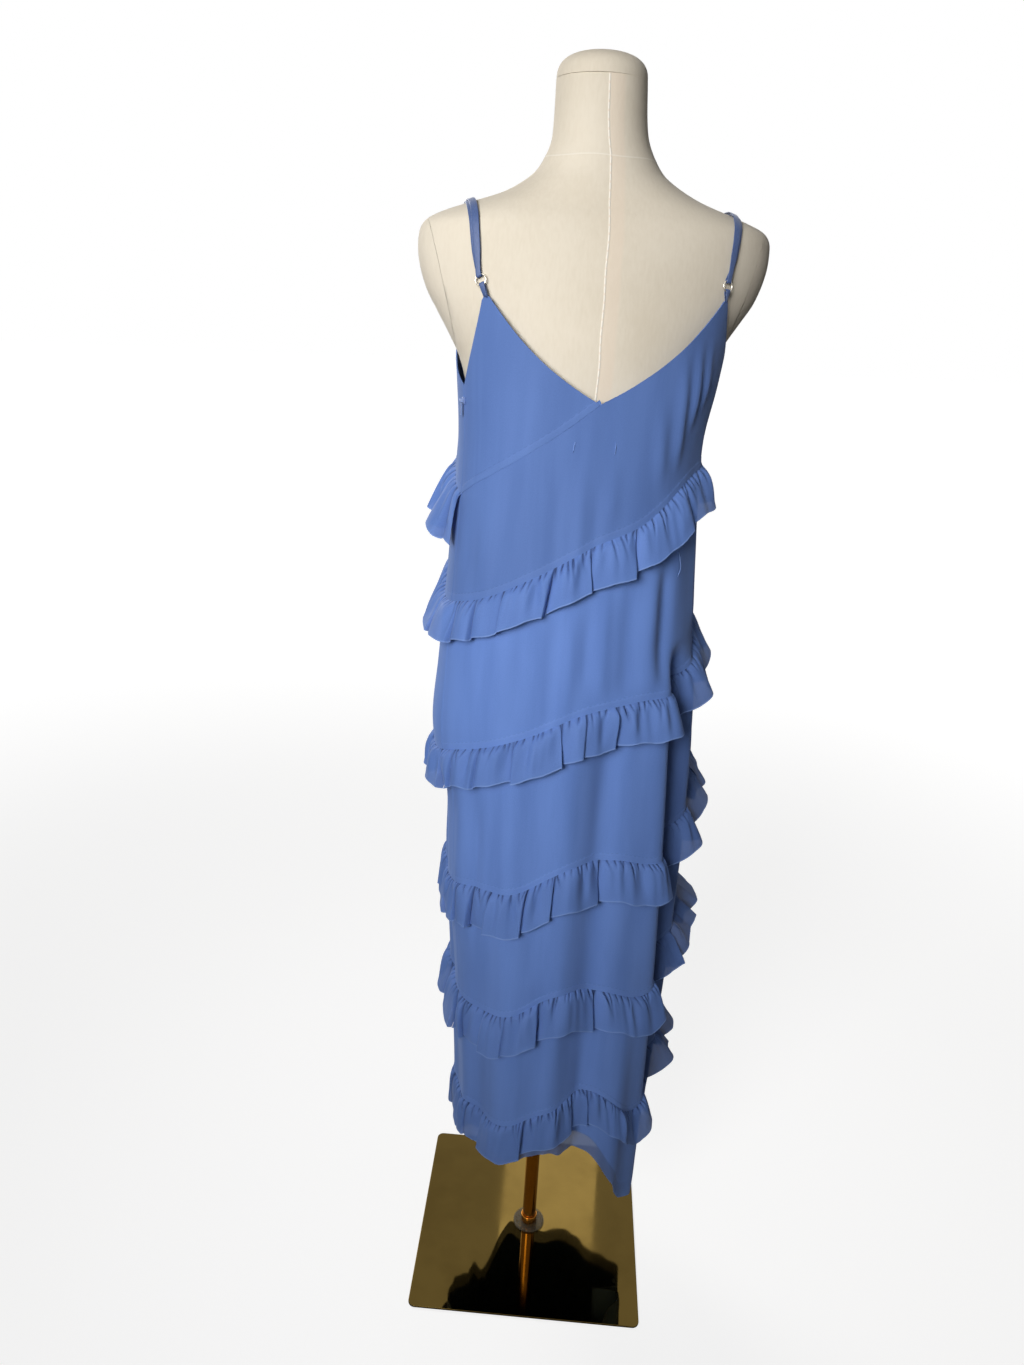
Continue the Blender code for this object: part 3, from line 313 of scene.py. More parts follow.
def through_rows(height: Array, rows: Array) -> Array:
    """Values at heights on smooth curves through a table's rows.

    Args:
        height: Heights, in any shape.
        rows: Table whose first column is the height and whose others are values.

    Returns:
        Values with the table's other columns as a last axis.
    """
    places = rows[:, 0]
    held = np.clip(height, places[0], places[-1])
    low = np.clip(np.searchsorted(places, held, side="left") - 1, 0, len(places) - 2)
    before = np.maximum(low - 1, 0)
    after = np.minimum(low + 2, len(places) - 1)
    values = rows[:, 1:]
    span = (places[low + 1] - places[low])[..., None]
    share = ((held - places[low])[..., None]) / span
    reach_low = np.maximum(places[low + 1] - places[before], 1e-9)[..., None]
    reach_high = np.maximum(places[after] - places[low], 1e-9)[..., None]
    slope_low = (values[low + 1] - values[before]) / reach_low * span
    slope_high = (values[after] - values[low]) / reach_high * span
    return cubic(values[low], values[low + 1], slope_low, slope_high, share)


def round_the_body(angle: Array, heights: Sequence[float]) -> Array:
    """Heights at angles, on a smooth closed curve through knots every 30 degrees."""
    knots = np.array(heights)
    place = (angle % FULL_TURN) / SEAM_STEP
    low = np.floor(place).astype(int)
    share = place - low
    count = len(knots)
    start, end = knots[low % count], knots[(low + 1) % count]
    slope_low = (end - knots[(low - 1) % count]) / 2.0
    slope_high = (knots[(low + 2) % count] - start) / 2.0
    return cubic(start, end, slope_low, slope_high, share)


# ------------------------------------------------------------------ surfaces


@dataclass(frozen=True)
class BodySurface:
    """Surface round the Z axis, given by its reach from the axis at rows of heights."""

    sections: Sequence[Section]

    def reach(self, angle: Array, height: Array) -> Array:
        """Distance from the axis at angles and heights of one shape."""
        angle, height = np.broadcast_arrays(np.asarray(angle, float), np.asarray(height, float))
        here = through_rows(height, np.array(self.sections))
        turn = np.radians(angle)
        side = np.where(np.sin(turn) >= 0.0, here[..., 0], here[..., 1])
        to_back = np.cos(turn) >= 0.0
        depth = np.where(to_back, here[..., 2], here[..., 3])
        square = np.where(to_back, here[..., 4], here[..., 5])
        total = np.abs(np.sin(turn) / side) ** square + np.abs(np.cos(turn) / depth) ** square
        return total ** (-1.0 / square)

    @staticmethod
    def place(angle: Array, height: Array, distance: Array) -> Array:
        """Points at angles and heights, at distances from the axis."""
        turn = np.radians(angle)
        return np.stack((np.sin(turn) * distance, np.cos(turn) * distance, height), axis=-1)


@dataclass(frozen=True)
class DressSurface(BodySurface):
    """Outside of the draped cloth, with its folds, creases, seams and free edges."""

    form: BodySurface = field(default_factory=lambda: BodySurface(FORM_SECTIONS))
    folds: Sequence[Fold] = FOLDS
    creases: Sequence[Crease] = CREASES
    form_low: float = 0.80
    clearance: float = 0.0022
    ripple: float = 0.00022
    crease_scale: float = 1.35
    fade: float = 0.045
    seed: int = 11
    # Faint waves round the body: count, drift and share
    ripples: tuple[Triple, ...] = ((9, 2.1, 1.0), (14, -3.4, 0.8), (23, 5.2, 0.5))
    # Hidden creases of the skirt and the bust; a pair that is drawn from is its least value
    # and how much more it can be
    skirt_turns: Pair = (97.0, 262.0)
    skirt_steps: Pair = (7.0, 8.0)
    skirt_tops: Pair = (0.72, 0.36)
    skirt_bottoms: Pair = (0.16, 0.30)
    skirt_depths: Pair = (0.0014, 0.0026)
    skirt_spreads: Pair = (4.0, 4.0)
    skirt_lean: float = 16.0
    bust_turns: tuple[float, ...] = (106.0, 121.0, 141.0, 166.0, 188.0, 209.0, 229.0, 251.0)
    bust_tops: Pair = (1.20, 0.06)
    bust_depths: Pair = (0.0010, 0.0014)
    bust_spreads: Pair = (4.0, 3.0)
    bust_length: float = 0.22

    def hidden_creases(self) -> list[Crease]:
        """Creases of the front and the far side, drawn once from a fixed seed."""
        lot = np.random.default_rng(self.seed)
        made = []
        angle, last = self.skirt_turns
        while angle < last:
            top = drawn(lot, self.skirt_tops)
            sign = 1.0 if len(made) % 2 else -1.0
            depth = sign * drawn(lot, self.skirt_depths)
            bottom = drawn(lot, self.skirt_bottoms)
            spread = drawn(lot, self.skirt_spreads)
            lean = self.skirt_lean * (lot.random() - 0.5)
            made.append(Crease(angle, spread, top, bottom, depth, lean))
            angle += drawn(lot, self.skirt_steps)
        for angle in self.bust_turns:
            top = drawn(lot, self.bust_tops)
            sign = 1.0 if len(made) % 2 else -1.0
            depth = sign * drawn(lot, self.bust_depths)
            spread = drawn(lot, self.bust_spreads)
            made.append(Crease(angle, spread, top, top - self.bust_length, depth))
        return made

    def crease_offset(self, angle: Array, height: Array) -> Array:
        """How far the soft creases and a faint ripple move the cloth out."""
        offset = np.zeros(np.broadcast(angle, height).shape)
        for crease in (*self.creases, *self.hidden_creases()):
            middle = crease.angle + crease.lean * (crease.top - height)
            grown = smooth_step((crease.top - height) / (self.fade * 1.5))
            grown = grown * smooth_step((height - crease.bottom) / self.fade)
            near = bell(turn_from(angle, middle), crease.spread)
            offset = offset + self.crease_scale * crease.depth * grown * near
        turn = np.radians(angle)
        for waves, drift, share in self.ripples:
            offset = offset + self.ripple * share * np.sin(turn * waves + drift * height * 3.0)
        near_zip = bell(turn_from(angle, SIDE_LEFT), 5.0) * smooth_step((height - 1.0) / 0.05)
        return offset * (1.0 - 0.95 * near_zip)

    @staticmethod
    def painted_fold_shade(angle: Array, height: Array) -> Array:
        """Share of painted shade in and beyond the two long folds beside the right of the back (0
        to 1).
        """
        grown = smooth_step((1.00 - height) / 0.10)
        away = turn_from(angle, -60.0 - 26.0 * (1.0 - height))
        first = bell(away, np.where(away > 0.0, 4.0, 7.0))
        # Painted shade on the side beyond the first fold, which faces away from the light
        beyond = 0.50 * smooth_step(-away / 6.0) * smooth_step((52.0 + away) / 30.0)
        second = bell(turn_from(angle, -78.0 - 18.0 * (1.0 - height)), 3.6)
        return grown * np.minimum(np.maximum(first, beyond) + 0.6 * second, 1.0)

    def fold_offset(self, angle: Array, height: Array) -> Array:
        """How far the lengthwise folds move the cloth out."""
        offset = np.zeros(np.broadcast(angle, height).shape)
        for fold in self.folds:
            grown = smooth_step((fold.top - height) / (fold.top - FOLD_END))
            middle = fold.angle + fold.lean * (fold.top - height)
            offset = offset + fold.depth * grown * bell(turn_from(angle, middle), fold.spread)
        return offset

    def outside(self, angle: Array, height: Array) -> Array:
        """Distance of the cloth's outside from the axis, kept clear of the form."""
        cloth = self.reach(angle, height) + self.fold_offset(angle, height)
        cloth = cloth + self.crease_offset(angle, height)
        form = self.form.reach(angle, height) + CLOTH + self.clearance
        return np.where(height > self.form_low, np.maximum(cloth, form), cloth)

    def on_dress(self, angle: Array, height: Array, lift: Array | float = 0.0) -> Array:
        """Points on the outside of the cloth, moved out level by lift."""
        angle, height = np.broadcast_arrays(np.asarray(angle, float), np.asarray(height, float))
        return self.place(angle, height, self.outside(angle, height) + lift)

    @staticmethod
    def seam(number: int) -> Heights:
        """Height function of a seam: 0 is the highest that runs all round."""
        return lambda angle: round_the_body(np.asarray(angle, float), SEAMS[number])

    @staticmethod
    def hem(angle: Array) -> Array:
        """Height of the dress's hem, with the lift and dip that its folds give it."""
        angle = np.asarray(angle, float)
        wave, dip = np.zeros_like(angle), np.zeros_like(angle)
        for rise, count, start in HEM_WAVES:
            wave = wave + rise * np.sin(np.radians(angle) * count + start)
        for centre, spread, rise in HEM_DIPS:
            dip = dip + rise * bell(turn_from(angle, centre), spread)
        return round_the_body(angle, SEAMS[-1]) + 0.6 * wave + dip

    @staticmethod
    def peak_height(angle: Array) -> Array:
        """Height of the strap points on an angle's side of the body."""
        left = np.sin(np.radians(angle)) > 0.0
        return np.where(left, PEAK_HEIGHT_LEFT, PEAK_HEIGHT_RIGHT)

    def neckline(self, angle: Array, centre: float, left: float, right: float,
                 point: float) -> Array:
        """Height of a V neckline, whose edges bow down between its point and the strap points."""
        peak = np.where((angle - centre) * (left - centre) > 0.0, left, right)
        share = np.minimum(np.abs(angle - centre) / (np.abs(peak - centre) - PEAK_HALF), 1.0)
        return point + (self.peak_height(peak) - point) * (0.55 * share + 0.45 * share**3)

    def armhole(self, angle: Array, peak: float, side: float, power: float) -> Array:
        """Height of an armhole's edge between a strap point and the side seam."""
        share = (np.abs(angle - peak) - PEAK_HALF) / (abs(side - peak) - PEAK_HALF)
        top = self.peak_height(np.asarray(peak))
        return top + (ARMHOLE_LOW - top) * np.clip(share, 0.0, 1.0) ** power

    def back_top(self, angle: Array) -> Array:
        """Height of the back's upper edge: armhole, strap point, neckline and back again."""
        made = self.neckline(angle, 0.0, BACK_PEAK_LEFT, BACK_PEAK_RIGHT, BACK_POINT)
        left = self.armhole(angle, BACK_PEAK_LEFT, SIDE_LEFT, 0.8)
        right = self.armhole(angle, BACK_PEAK_RIGHT, SIDE_RIGHT - FULL_TURN, 0.65)
        made = np.where(angle > BACK_PEAK_LEFT, left, made)
        return np.where(angle < BACK_PEAK_RIGHT, right, made)

    def front_top(self, angle: Array) -> Array:
        """Height of the front's upper edge."""
        made = self.neckline(angle, 180.0, FRONT_PEAK_LEFT, FRONT_PEAK_RIGHT, FRONT_POINT)
        left = self.armhole(angle, FRONT_PEAK_LEFT, SIDE_LEFT, 0.55)
        right = self.armhole(angle, FRONT_PEAK_RIGHT, SIDE_RIGHT, 0.55)
        made = np.where(angle < FRONT_PEAK_LEFT, left, made)
        return np.where(angle > FRONT_PEAK_RIGHT, right, made)

    @staticmethod
    def back_diagonal(angle: Array) -> Array:
        """Height of the plain seam from the back's V point down to the left side seam."""
        share = np.clip(np.asarray(angle, float) / SIDE_LEFT, 0.0, 1.0)
        return BACK_POINT + (YOKE_LOW_LEFT - BACK_POINT) * share

    @staticmethod
    def front_diagonal(angle: Array) -> Array:
        """Height of the frilled seam from the left side seam up to the front's V point."""
        share = np.clip((180.0 - np.asarray(angle, float)) / (180.0 - SIDE_LEFT), 0.0, 1.0)
        return FRONT_POINT + (YOKE_LOW_LEFT - FRONT_POINT) * share

    def back_bodice_top(self, angle: Array) -> Array:
        """Height of the back bodice's upper edge: diagonal seam, then neckline and armhole."""
        return np.where(angle > 0.0, self.back_diagonal(angle), self.back_top(angle))

    def front_bodice_top(self, angle: Array) -> Array:
        """Height of the front bodice's upper edge: diagonal seam, then neckline and armhole."""
        return np.where(angle < 180.0, self.front_diagonal(angle), self.front_top(angle))


# ------------------------------------------------------------------ finishes


class ShaderBench:
    """Adds nodes to one new material and joins them up."""

    def __init__(self, name: str) -> None:
        """Start a material that has only its principled shader and its output."""
        self.material = bpy.data.materials.new(name)
        self.material.use_nodes = True
        self.tree = self.material.node_tree
        self.shader = self.tree.nodes["Principled BSDF"]

    def node(self, kind: str, *feeds: tuple[int | str, object], **settings: object) -> Node:
        """Add a node of a kind, with its settings and what its sockets are fed.

        Args:
            kind: The node's type, without the words that all the types start with.
            feeds: Pairs of a socket's name or place and what it is fed.
            settings: The node's own settings.

        Returns:
            The new node.
        """
        made = self.tree.nodes.new("ShaderNode" + kind)
        for name, value in settings.items():
            setattr(made, name, value)
        for key, value in feeds:
            self.feed(made.inputs[key], value)
        return made

    def feed(self, socket: NodeSocket, value: object) -> None:
        """Give a socket a link from another socket, or a plain value."""
        if isinstance(value, NodeSocket):
            self.tree.links.new(value, socket)
        elif isinstance(value, tuple) and len(value) == 3 and socket.type == "RGBA":
            socket.default_value = (*value, 1.0)
        else:
            socket.default_value = value

    def maths(self, operation: str, *values: object) -> NodeSocket:
        """Result of a Math node on one to three values."""
        return self.node("Math", *enumerate(values), operation=operation).outputs[0]

    def times(self, first: object, second: object) -> NodeSocket:
        """First value times the second."""
        return self.maths("MULTIPLY", first, second)

    def less(self, first: object, second: object) -> NodeSocket:
        """First value less the second."""
        return self.maths("SUBTRACT", first, second)

    def size(self, value: object) -> NodeSocket:
        """Value without its sign."""
        return self.maths("ABSOLUTE", value)

    def blend(self, first: object, weight: float, second: object) -> NodeSocket:
        """First pattern at a weight, and the second at what is left of 1."""
        return self.maths("MULTIPLY_ADD", first, weight,
                          self.times(second, round(1.0 - weight, 3)))

    def tint(self, base: object, colour: object, where: object, most: float) -> NodeSocket:
        """Base colour moved towards another where a pattern says, by a share at most."""
        return self.mix(self.times(where, most), base, colour)

    def step(self, value: object, start: float, end: float) -> NodeSocket:
        """Eased share of a value between a start (0) and an end (1)."""
        return self.node("MapRange", ("Value", value), ("From Min", start), ("From Max", end),
                         interpolation_type="SMOOTHSTEP", clamp=True).outputs[0]

    def fade(self, value: object, start: float, end: float) -> NodeSocket:
        """Eased share that falls from 1 at a start to 0 at an end."""
        return self.less(1.0, self.step(value, start, end))

    def between(self, share: object, low: float, high: float) -> NodeSocket:
        """Value between a low and a high one, at a share."""
        return self.node("MapRange", ("Value", share), ("To Min", low), ("To Max", high),
                         clamp=True).outputs[0]

    def mix(self, share: object, first: object, second: object) -> NodeSocket:
        """Colour between two colours, at a share."""
        made = self.node("Mix", (0, share), (6, first), (7, second), data_type="RGBA")
        return made.outputs[2]

    def attribute(self, name: str) -> NodeSocket:
        """Number that the mesh carries under a name."""
        return self.node("Attribute", attribute_name=name).outputs["Fac"]

    def uv(self) -> NodeSocket:
        """The piece's own flat coordinates, in metres along and down the cloth."""
        return self.node("UVMap", uv_map="cloth").outputs[0]

    def here(self) -> NodeSocket:
        """Object coordinates."""
        return self.node("TexCoord").outputs["Object"]

    def scaled(self, vector: object, scale: Triple) -> NodeSocket:
        """Coordinates stretched along their axes."""
        return self.node("Mapping", ("Vector", vector), ("Scale", scale)).outputs[0]

    def noise(self, vector: object, scale: float, detail: float = 2.0) -> NodeSocket:
        """Soft cloudy pattern between 0 and 1."""
        return self.node("TexNoise", ("Vector", vector), ("Scale", scale),
                         ("Detail", detail)).outputs[0]

    def wave(self, vector: object, direction: str, pitch: float, wander: float) -> NodeSocket:
        """Even bands a pitch apart, in metres, that wander a little."""
        made = self.node("TexWave", ("Vector", vector), ("Scale", math.pi / 10.0 / pitch),
                         ("Distortion", wander), ("Detail Scale", 0.6), wave_type="BANDS",
                         bands_direction=direction)
        return made.outputs["Fac"]

    def bump(self, height: object, strength: float, distance: float) -> None:
        """Raise the surface by a height pattern, over what is raised already."""
        made = self.node("Bump", ("Height", height), ("Strength", strength),
                         ("Distance", distance))
        normal = self.shader.inputs["Normal"]
        if normal.is_linked:
            self.tree.links.new(normal.links[0].from_socket, made.inputs["Normal"])
        self.tree.links.new(made.outputs[0], normal)

    def finish(self, **sockets: object) -> Material:
        """Set the shader's sockets by name (spaces as underscores) and give the material."""
        for name, value in sockets.items():
            self.feed(self.shader.inputs[name.replace("_", " ")], value)
        return self.material


@dataclass(frozen=True)
class ChiffonFinish:
    """Matt blue chiffon: crepe grain, rolled hem, pressed seam allowance and sheer edges, with
    painted shade and painted highlights.
    """

    name: str
    colour: Triple = (0.136, 0.250, 0.620)
    deep: Triple = (0.112, 0.212, 0.545)
    # Painted highlight on the rolled hem and on the raised band above each seam
    pale: Triple = (0.215, 0.345, 0.710)
    misty: Triple = (0.120, 0.175, 0.330)
    # Painted shade: the dark colour that creases, folds and stitch dents are darkened towards
    painted_shade: Triple = (0.018, 0.034, 0.110)
    # Painted shade that darkens the bodice panels, the upper part of the dress
    bodice_shade: Triple = (0.030, 0.055, 0.130)
    # How strongly the painted shade in creases and folds is laid on
    crease: float = 0.92
    opacity: float = 1.0
    sheer_opacity: float = 0.74
    thread_pitch: float = 0.00055
    hem_width: float = 0.0019
    band_height: float = 0.0093
    stitch_pitch: float = 0.0062

    def build(self) -> Material:
        """Make the material.

        Returns:
            Material that reads the cloth's flat coordinates and its distances to edges.
        """
        bench = ShaderBench(self.name)
        flat = bench.uv()
        warp = bench.wave(flat, "X", self.thread_pitch, 0.4)
        weft = bench.wave(flat, "Y", self.thread_pitch, 0.4)
        crepe = bench.noise(flat, 620.0, 3.0)
        clouds = bench.noise(bench.scaled(flat, (34.0, 5.0, 1.0)), 1.0, 3.0)
        weave = bench.times(warp, weft)
        tone = bench.blend(crepe, 0.35, clouds)
        cloth = bench.mix(bench.step(tone, 0.32, 0.66), self.deep, self.colour)
        # Painted shade: the bodice panels are darkened
        cloth = bench.tint(cloth, self.bodice_shade, bench.attribute("bodice_shade"), 0.30)
        # Painted shade in the creases and folds that each mesh marks under shade
        painted_shade = bench.times(bench.attribute("shade"), self.crease)
        cloth = bench.mix(painted_shade, cloth, self.painted_shade)

        to_hem = bench.attribute("to_hem")
        # Painted highlight along the rolled hem
        rolled = bench.fade(to_hem, self.hem_width * 0.6, self.hem_width)
        cloth = bench.tint(cloth, self.pale, rolled, 0.75)

        to_seam = bench.attribute("to_seam")
        wobble = bench.noise(bench.scaled(flat, (150.0, 0.0, 0.0)), 1.0, 1.0)
        edge = bench.maths("MULTIPLY_ADD", wobble, 0.0022, self.band_height - 0.0011)
        inside = bench.step(bench.less(edge, to_seam), 0.0, 0.0009)
        away = bench.size(bench.less(to_seam, edge))
        line = bench.fade(away, 0.0002, 0.0009)
        dashes = bench.step(bench.wave(flat, "X", self.stitch_pitch, 1.2), 0.25, 0.62)
        stitched = bench.times(line, dashes)
        # Painted highlight on the raised band above the seam, and painted shade in the stitch
        # dents along its top edge
        cloth = bench.tint(cloth, self.pale, inside, 0.06)
        cloth = bench.tint(cloth, self.painted_shade, stitched, 0.15)

        to_edge = bench.attribute("to_edge")
        row = bench.size(bench.less(to_edge, 0.0032))
        row = bench.fade(row, 0.0001, 0.0006)
        row = bench.times(row, bench.step(bench.wave(flat, "X", 0.0021, 0.0), 0.3, 0.6))
        cloth = bench.tint(cloth, self.deep, row, 0.35)

        sheer = bench.attribute("sheer")
        cloth = bench.tint(cloth, self.misty, sheer, 0.65)
        alpha = bench.between(sheer, self.opacity, self.sheer_opacity)

        bench.bump(bench.maths("MULTIPLY_ADD", weave, 0.5, crepe), 0.16, 0.00022)
        bench.bump(bench.less(inside, stitched), 0.30, 0.00030)
        bench.bump(bench.less(rolled, row), 0.35, 0.00030)
        return bench.finish(
            Base_Color=cloth,
            Roughness=bench.between(crepe, 0.66, 0.80),
            Alpha=alpha,
            Sheen_Weight=0.22,
            Sheen_Roughness=0.45,
            Sheen_Tint=(0.62, 0.74, 1.0),
            Specular_IOR_Level=0.28,
        )


@dataclass(frozen=True)
class SatinFinish:
    """Blue satin binding, turned and stitched near both its edges."""

    name: str = "strap_satin"
    colour: Triple = (0.078, 0.130, 0.305)
    deep: Triple = (0.052, 0.090, 0.225)
    half_width: float = 0.0040

    def build(self) -> Material:
        """Make the material, with its stitch rows from the band's own coordinates."""
        bench = ShaderBench(self.name)
        flat = bench.uv()
        across = bench.size(bench.node("SeparateXYZ", (0, flat)).outputs[0])
        row = bench.size(bench.less(across, self.half_width * 0.72))
        row = bench.fade(row, 0.0001, 0.0005)
        stitches = bench.times(row, bench.step(bench.wave(flat, "Y", 0.0022, 0.0), 0.3, 0.6))
        grain = bench.noise(bench.scaled(flat, (1600.0, 260.0, 1.0)), 1.0, 3.0)
        cloth = bench.mix(bench.step(grain, 0.3, 0.7), self.deep, self.colour)
        cloth = bench.tint(cloth, self.deep, stitches, 0.5)
        bench.bump(bench.less(bench.times(grain, 0.3), stitches), 0.35, 0.00030)
        return bench.finish(
            Base_Color=cloth,
            Roughness=bench.between(grain, 0.42, 0.58),
            Sheen_Weight=0.25,
            Sheen_Roughness=0.35,
            Specular_IOR_Level=0.40,
        )


@dataclass(frozen=True)
class JerseyFinish:
    """Cream knitted jersey pulled over the form, with its stitched ridge and a warmer strip."""

    name: str = "form_jersey"
    colour: Triple = (0.760, 0.695, 0.580)
    deep: Triple = (0.690, 0.620, 0.500)
    thread: Triple = (0.900, 0.860, 0.780)
    warm: Triple = (0.800, 0.660, 0.530)
    strip: float = 0.016
    stitch_pitch: float = 0.0085

    def build(self) -> Material:
        """Make the material, whose seams follow the distances that the meshes carry."""
        bench = ShaderBench(self.name)
        here = bench.here()
        knit = bench.noise(bench.scaled(here, (1.0, 1.0, 0.55)), 900.0, 3.0)
        slubs = bench.noise(bench.scaled(here, (300.0, 300.0, 90.0)), 1.0, 3.0)
        clouds = bench.noise(here, 9.0, 3.0)
        tone = bench.blend(slubs, 0.35, clouds)
        cloth = bench.mix(bench.step(tone, 0.25, 0.70), self.deep, self.colour)

        ridge = bench.attribute("to_ridge")
        beside = bench.step(ridge, 0.0008, 0.0022)
        beside = bench.times(beside, bench.fade(ridge, self.strip * 0.85, self.strip * 1.2))
        cloth = bench.tint(cloth, self.warm, beside, 0.38)
        near = bench.fade(bench.size(ridge), 0.0005, 0.0013)
        cloth = bench.tint(cloth, self.thread, near, 0.85)
        stitches = bench.step(bench.wave(here, "Z", self.stitch_pitch, 0.5), 0.72, 0.95)
        pricked = bench.times(stitches, near)
        cloth = bench.tint(cloth, self.warm, pricked, 0.55)

        collar = bench.attribute("to_collar")
        ring = bench.fade(bench.size(collar), 0.0003, 0.0011)
        cloth = bench.tint(cloth, self.thread, ring, 0.40)

        bench.bump(bench.maths("MULTIPLY_ADD", knit, 0.7, bench.times(slubs, 0.5)), 0.22, 0.0004)
        bench.bump(bench.less(near, pricked), 0.30, 0.0005)
        bench.bump(ring, 0.25, 0.0005)
        return bench.finish(
            Base_Color=cloth,
            Roughness=bench.between(knit, 0.82, 0.95),
            Sheen_Weight=0.12,
            Sheen_Roughness=0.5,
            Specular_IOR_Level=0.25,
        )


@dataclass(frozen=True)
class MetalFinish:
    """Plain metal with a fine grain and faint handling marks."""

    name: str
    colour: Triple
    deep: Triple
    smooth: float
    rough: float
    marks: float = 22.0
    grain: Triple = (60.0, 60.0, 60.0)
    relief: float = 0.05

    def build(self) -> Material:
        """Make the material."""
        bench = ShaderBench(self.name)
        here = bench.here()
        cloudy = bench.noise(here, self.marks, 4.0)
        lines = bench.noise(bench.scaled(here, self.grain), 1.0, 3.0)
        tone = bench.blend(cloudy, 0.6, lines)
        worn = bench.step(tone, 0.38, 0.68)
        bench.bump(lines, self.relief, 0.0001)
        return bench.finish(
            Base_Color=bench.mix(worn, self.colour, self.deep),
            Roughness=bench.between(worn, self.smooth, self.rough),
            Metallic=1.0,
        )


@dataclass(frozen=True)
class WasherFinish:
    """Cloudy grey plastic of the washer, slightly see-through, scuffed in rings."""

    name: str = "washer_plastic"
    colour: Triple = (0.165, 0.150, 0.115)
    deep: Triple = (0.095, 0.083, 0.058)

    def build(self) -> Material:
        """Make the material."""
        bench = ShaderBench(self.name)
        here = bench.here()
        cloudy = bench.noise(here, 130.0, 4.0)
        rings = bench.node("TexWave", ("Vector", here), ("Scale", 160.0), ("Distortion", 1.0),
                           wave_type="RINGS", rings_direction="Z")
        bench.bump(rings.outputs["Fac"], 0.06, 0.0002)
        return bench.finish(
            Base_Color=bench.mix(bench.step(cloudy, 0.35, 0.7), self.colour, self.deep),
            Roughness=bench.between(cloudy, 0.22, 0.40),
            Alpha=0.42,
            IOR=1.45,
        )


@dataclass(frozen=True)
class TapeFinish:
    """Blue woven zip tape with a ribbed weave and a paler row of coil."""

    name: str = "zip_tape"
    colour: Triple = (0.095, 0.165, 0.400)
    deep: Triple = (0.070, 0.120, 0.310)

    def build(self) -> Material:
        """Make the material."""
        bench = ShaderBench(self.name)
        flat = bench.uv()
        ribs = bench.wave(flat, "Y", 0.0009, 0.2)
        rows = bench.wave(flat, "X", 0.0007, 0.2)
        weave = bench.times(ribs, rows)
        bench.bump(weave, 0.35, 0.0002)
        return bench.finish(
            Base_Color=bench.mix(weave, self.deep, self.colour),
            Roughness=bench.between(weave, 0.60, 0.78),
        )


@dataclass(frozen=True)
class PullFinish:
    """Blue enamel of the zip's slider and pull, with small chips of bare metal."""

    name: str = "pull_tab"
    colour: Triple = (0.235, 0.330, 0.600)
    bare: Triple = (0.620, 0.620, 0.600)

    def build(self) -> Material:
        """Make the material."""
        bench = ShaderBench(self.name)
        here = bench.here()
        chips = bench.step(bench.noise(here, 950.0, 3.0), 0.66, 0.72)
        orange_peel = bench.noise(here, 1400.0, 2.0)
        bench.bump(bench.less(orange_peel, chips), 0.15, 0.0001)
        return bench.finish(
            Base_Color=bench.mix(chips, self.colour, self.bare),
            Metallic=chips,
            Roughness=bench.between(orange_peel, 0.28, 0.42),
        )


# ------------------------------------------------------------------ cloth meshes


def added(name: str, data: ID) -> Object:
    """New object on some data, in the scene's collection."""
    made = bpy.data.objects.new(name, data)
    bpy.context.scene.collection.objects.link(made)
    return made


def mark_points(mesh: Mesh, name: str, values: Array | float) -> None:
    """Give each of a mesh's points a number under a name, or the same number to all."""
    layer = mesh.attributes.new(name, "FLOAT", "POINT")
    spread = np.broadcast_to(np.ravel(values), (len(mesh.vertices),))
    layer.data.foreach_set("value", spread.astype(np.float32))


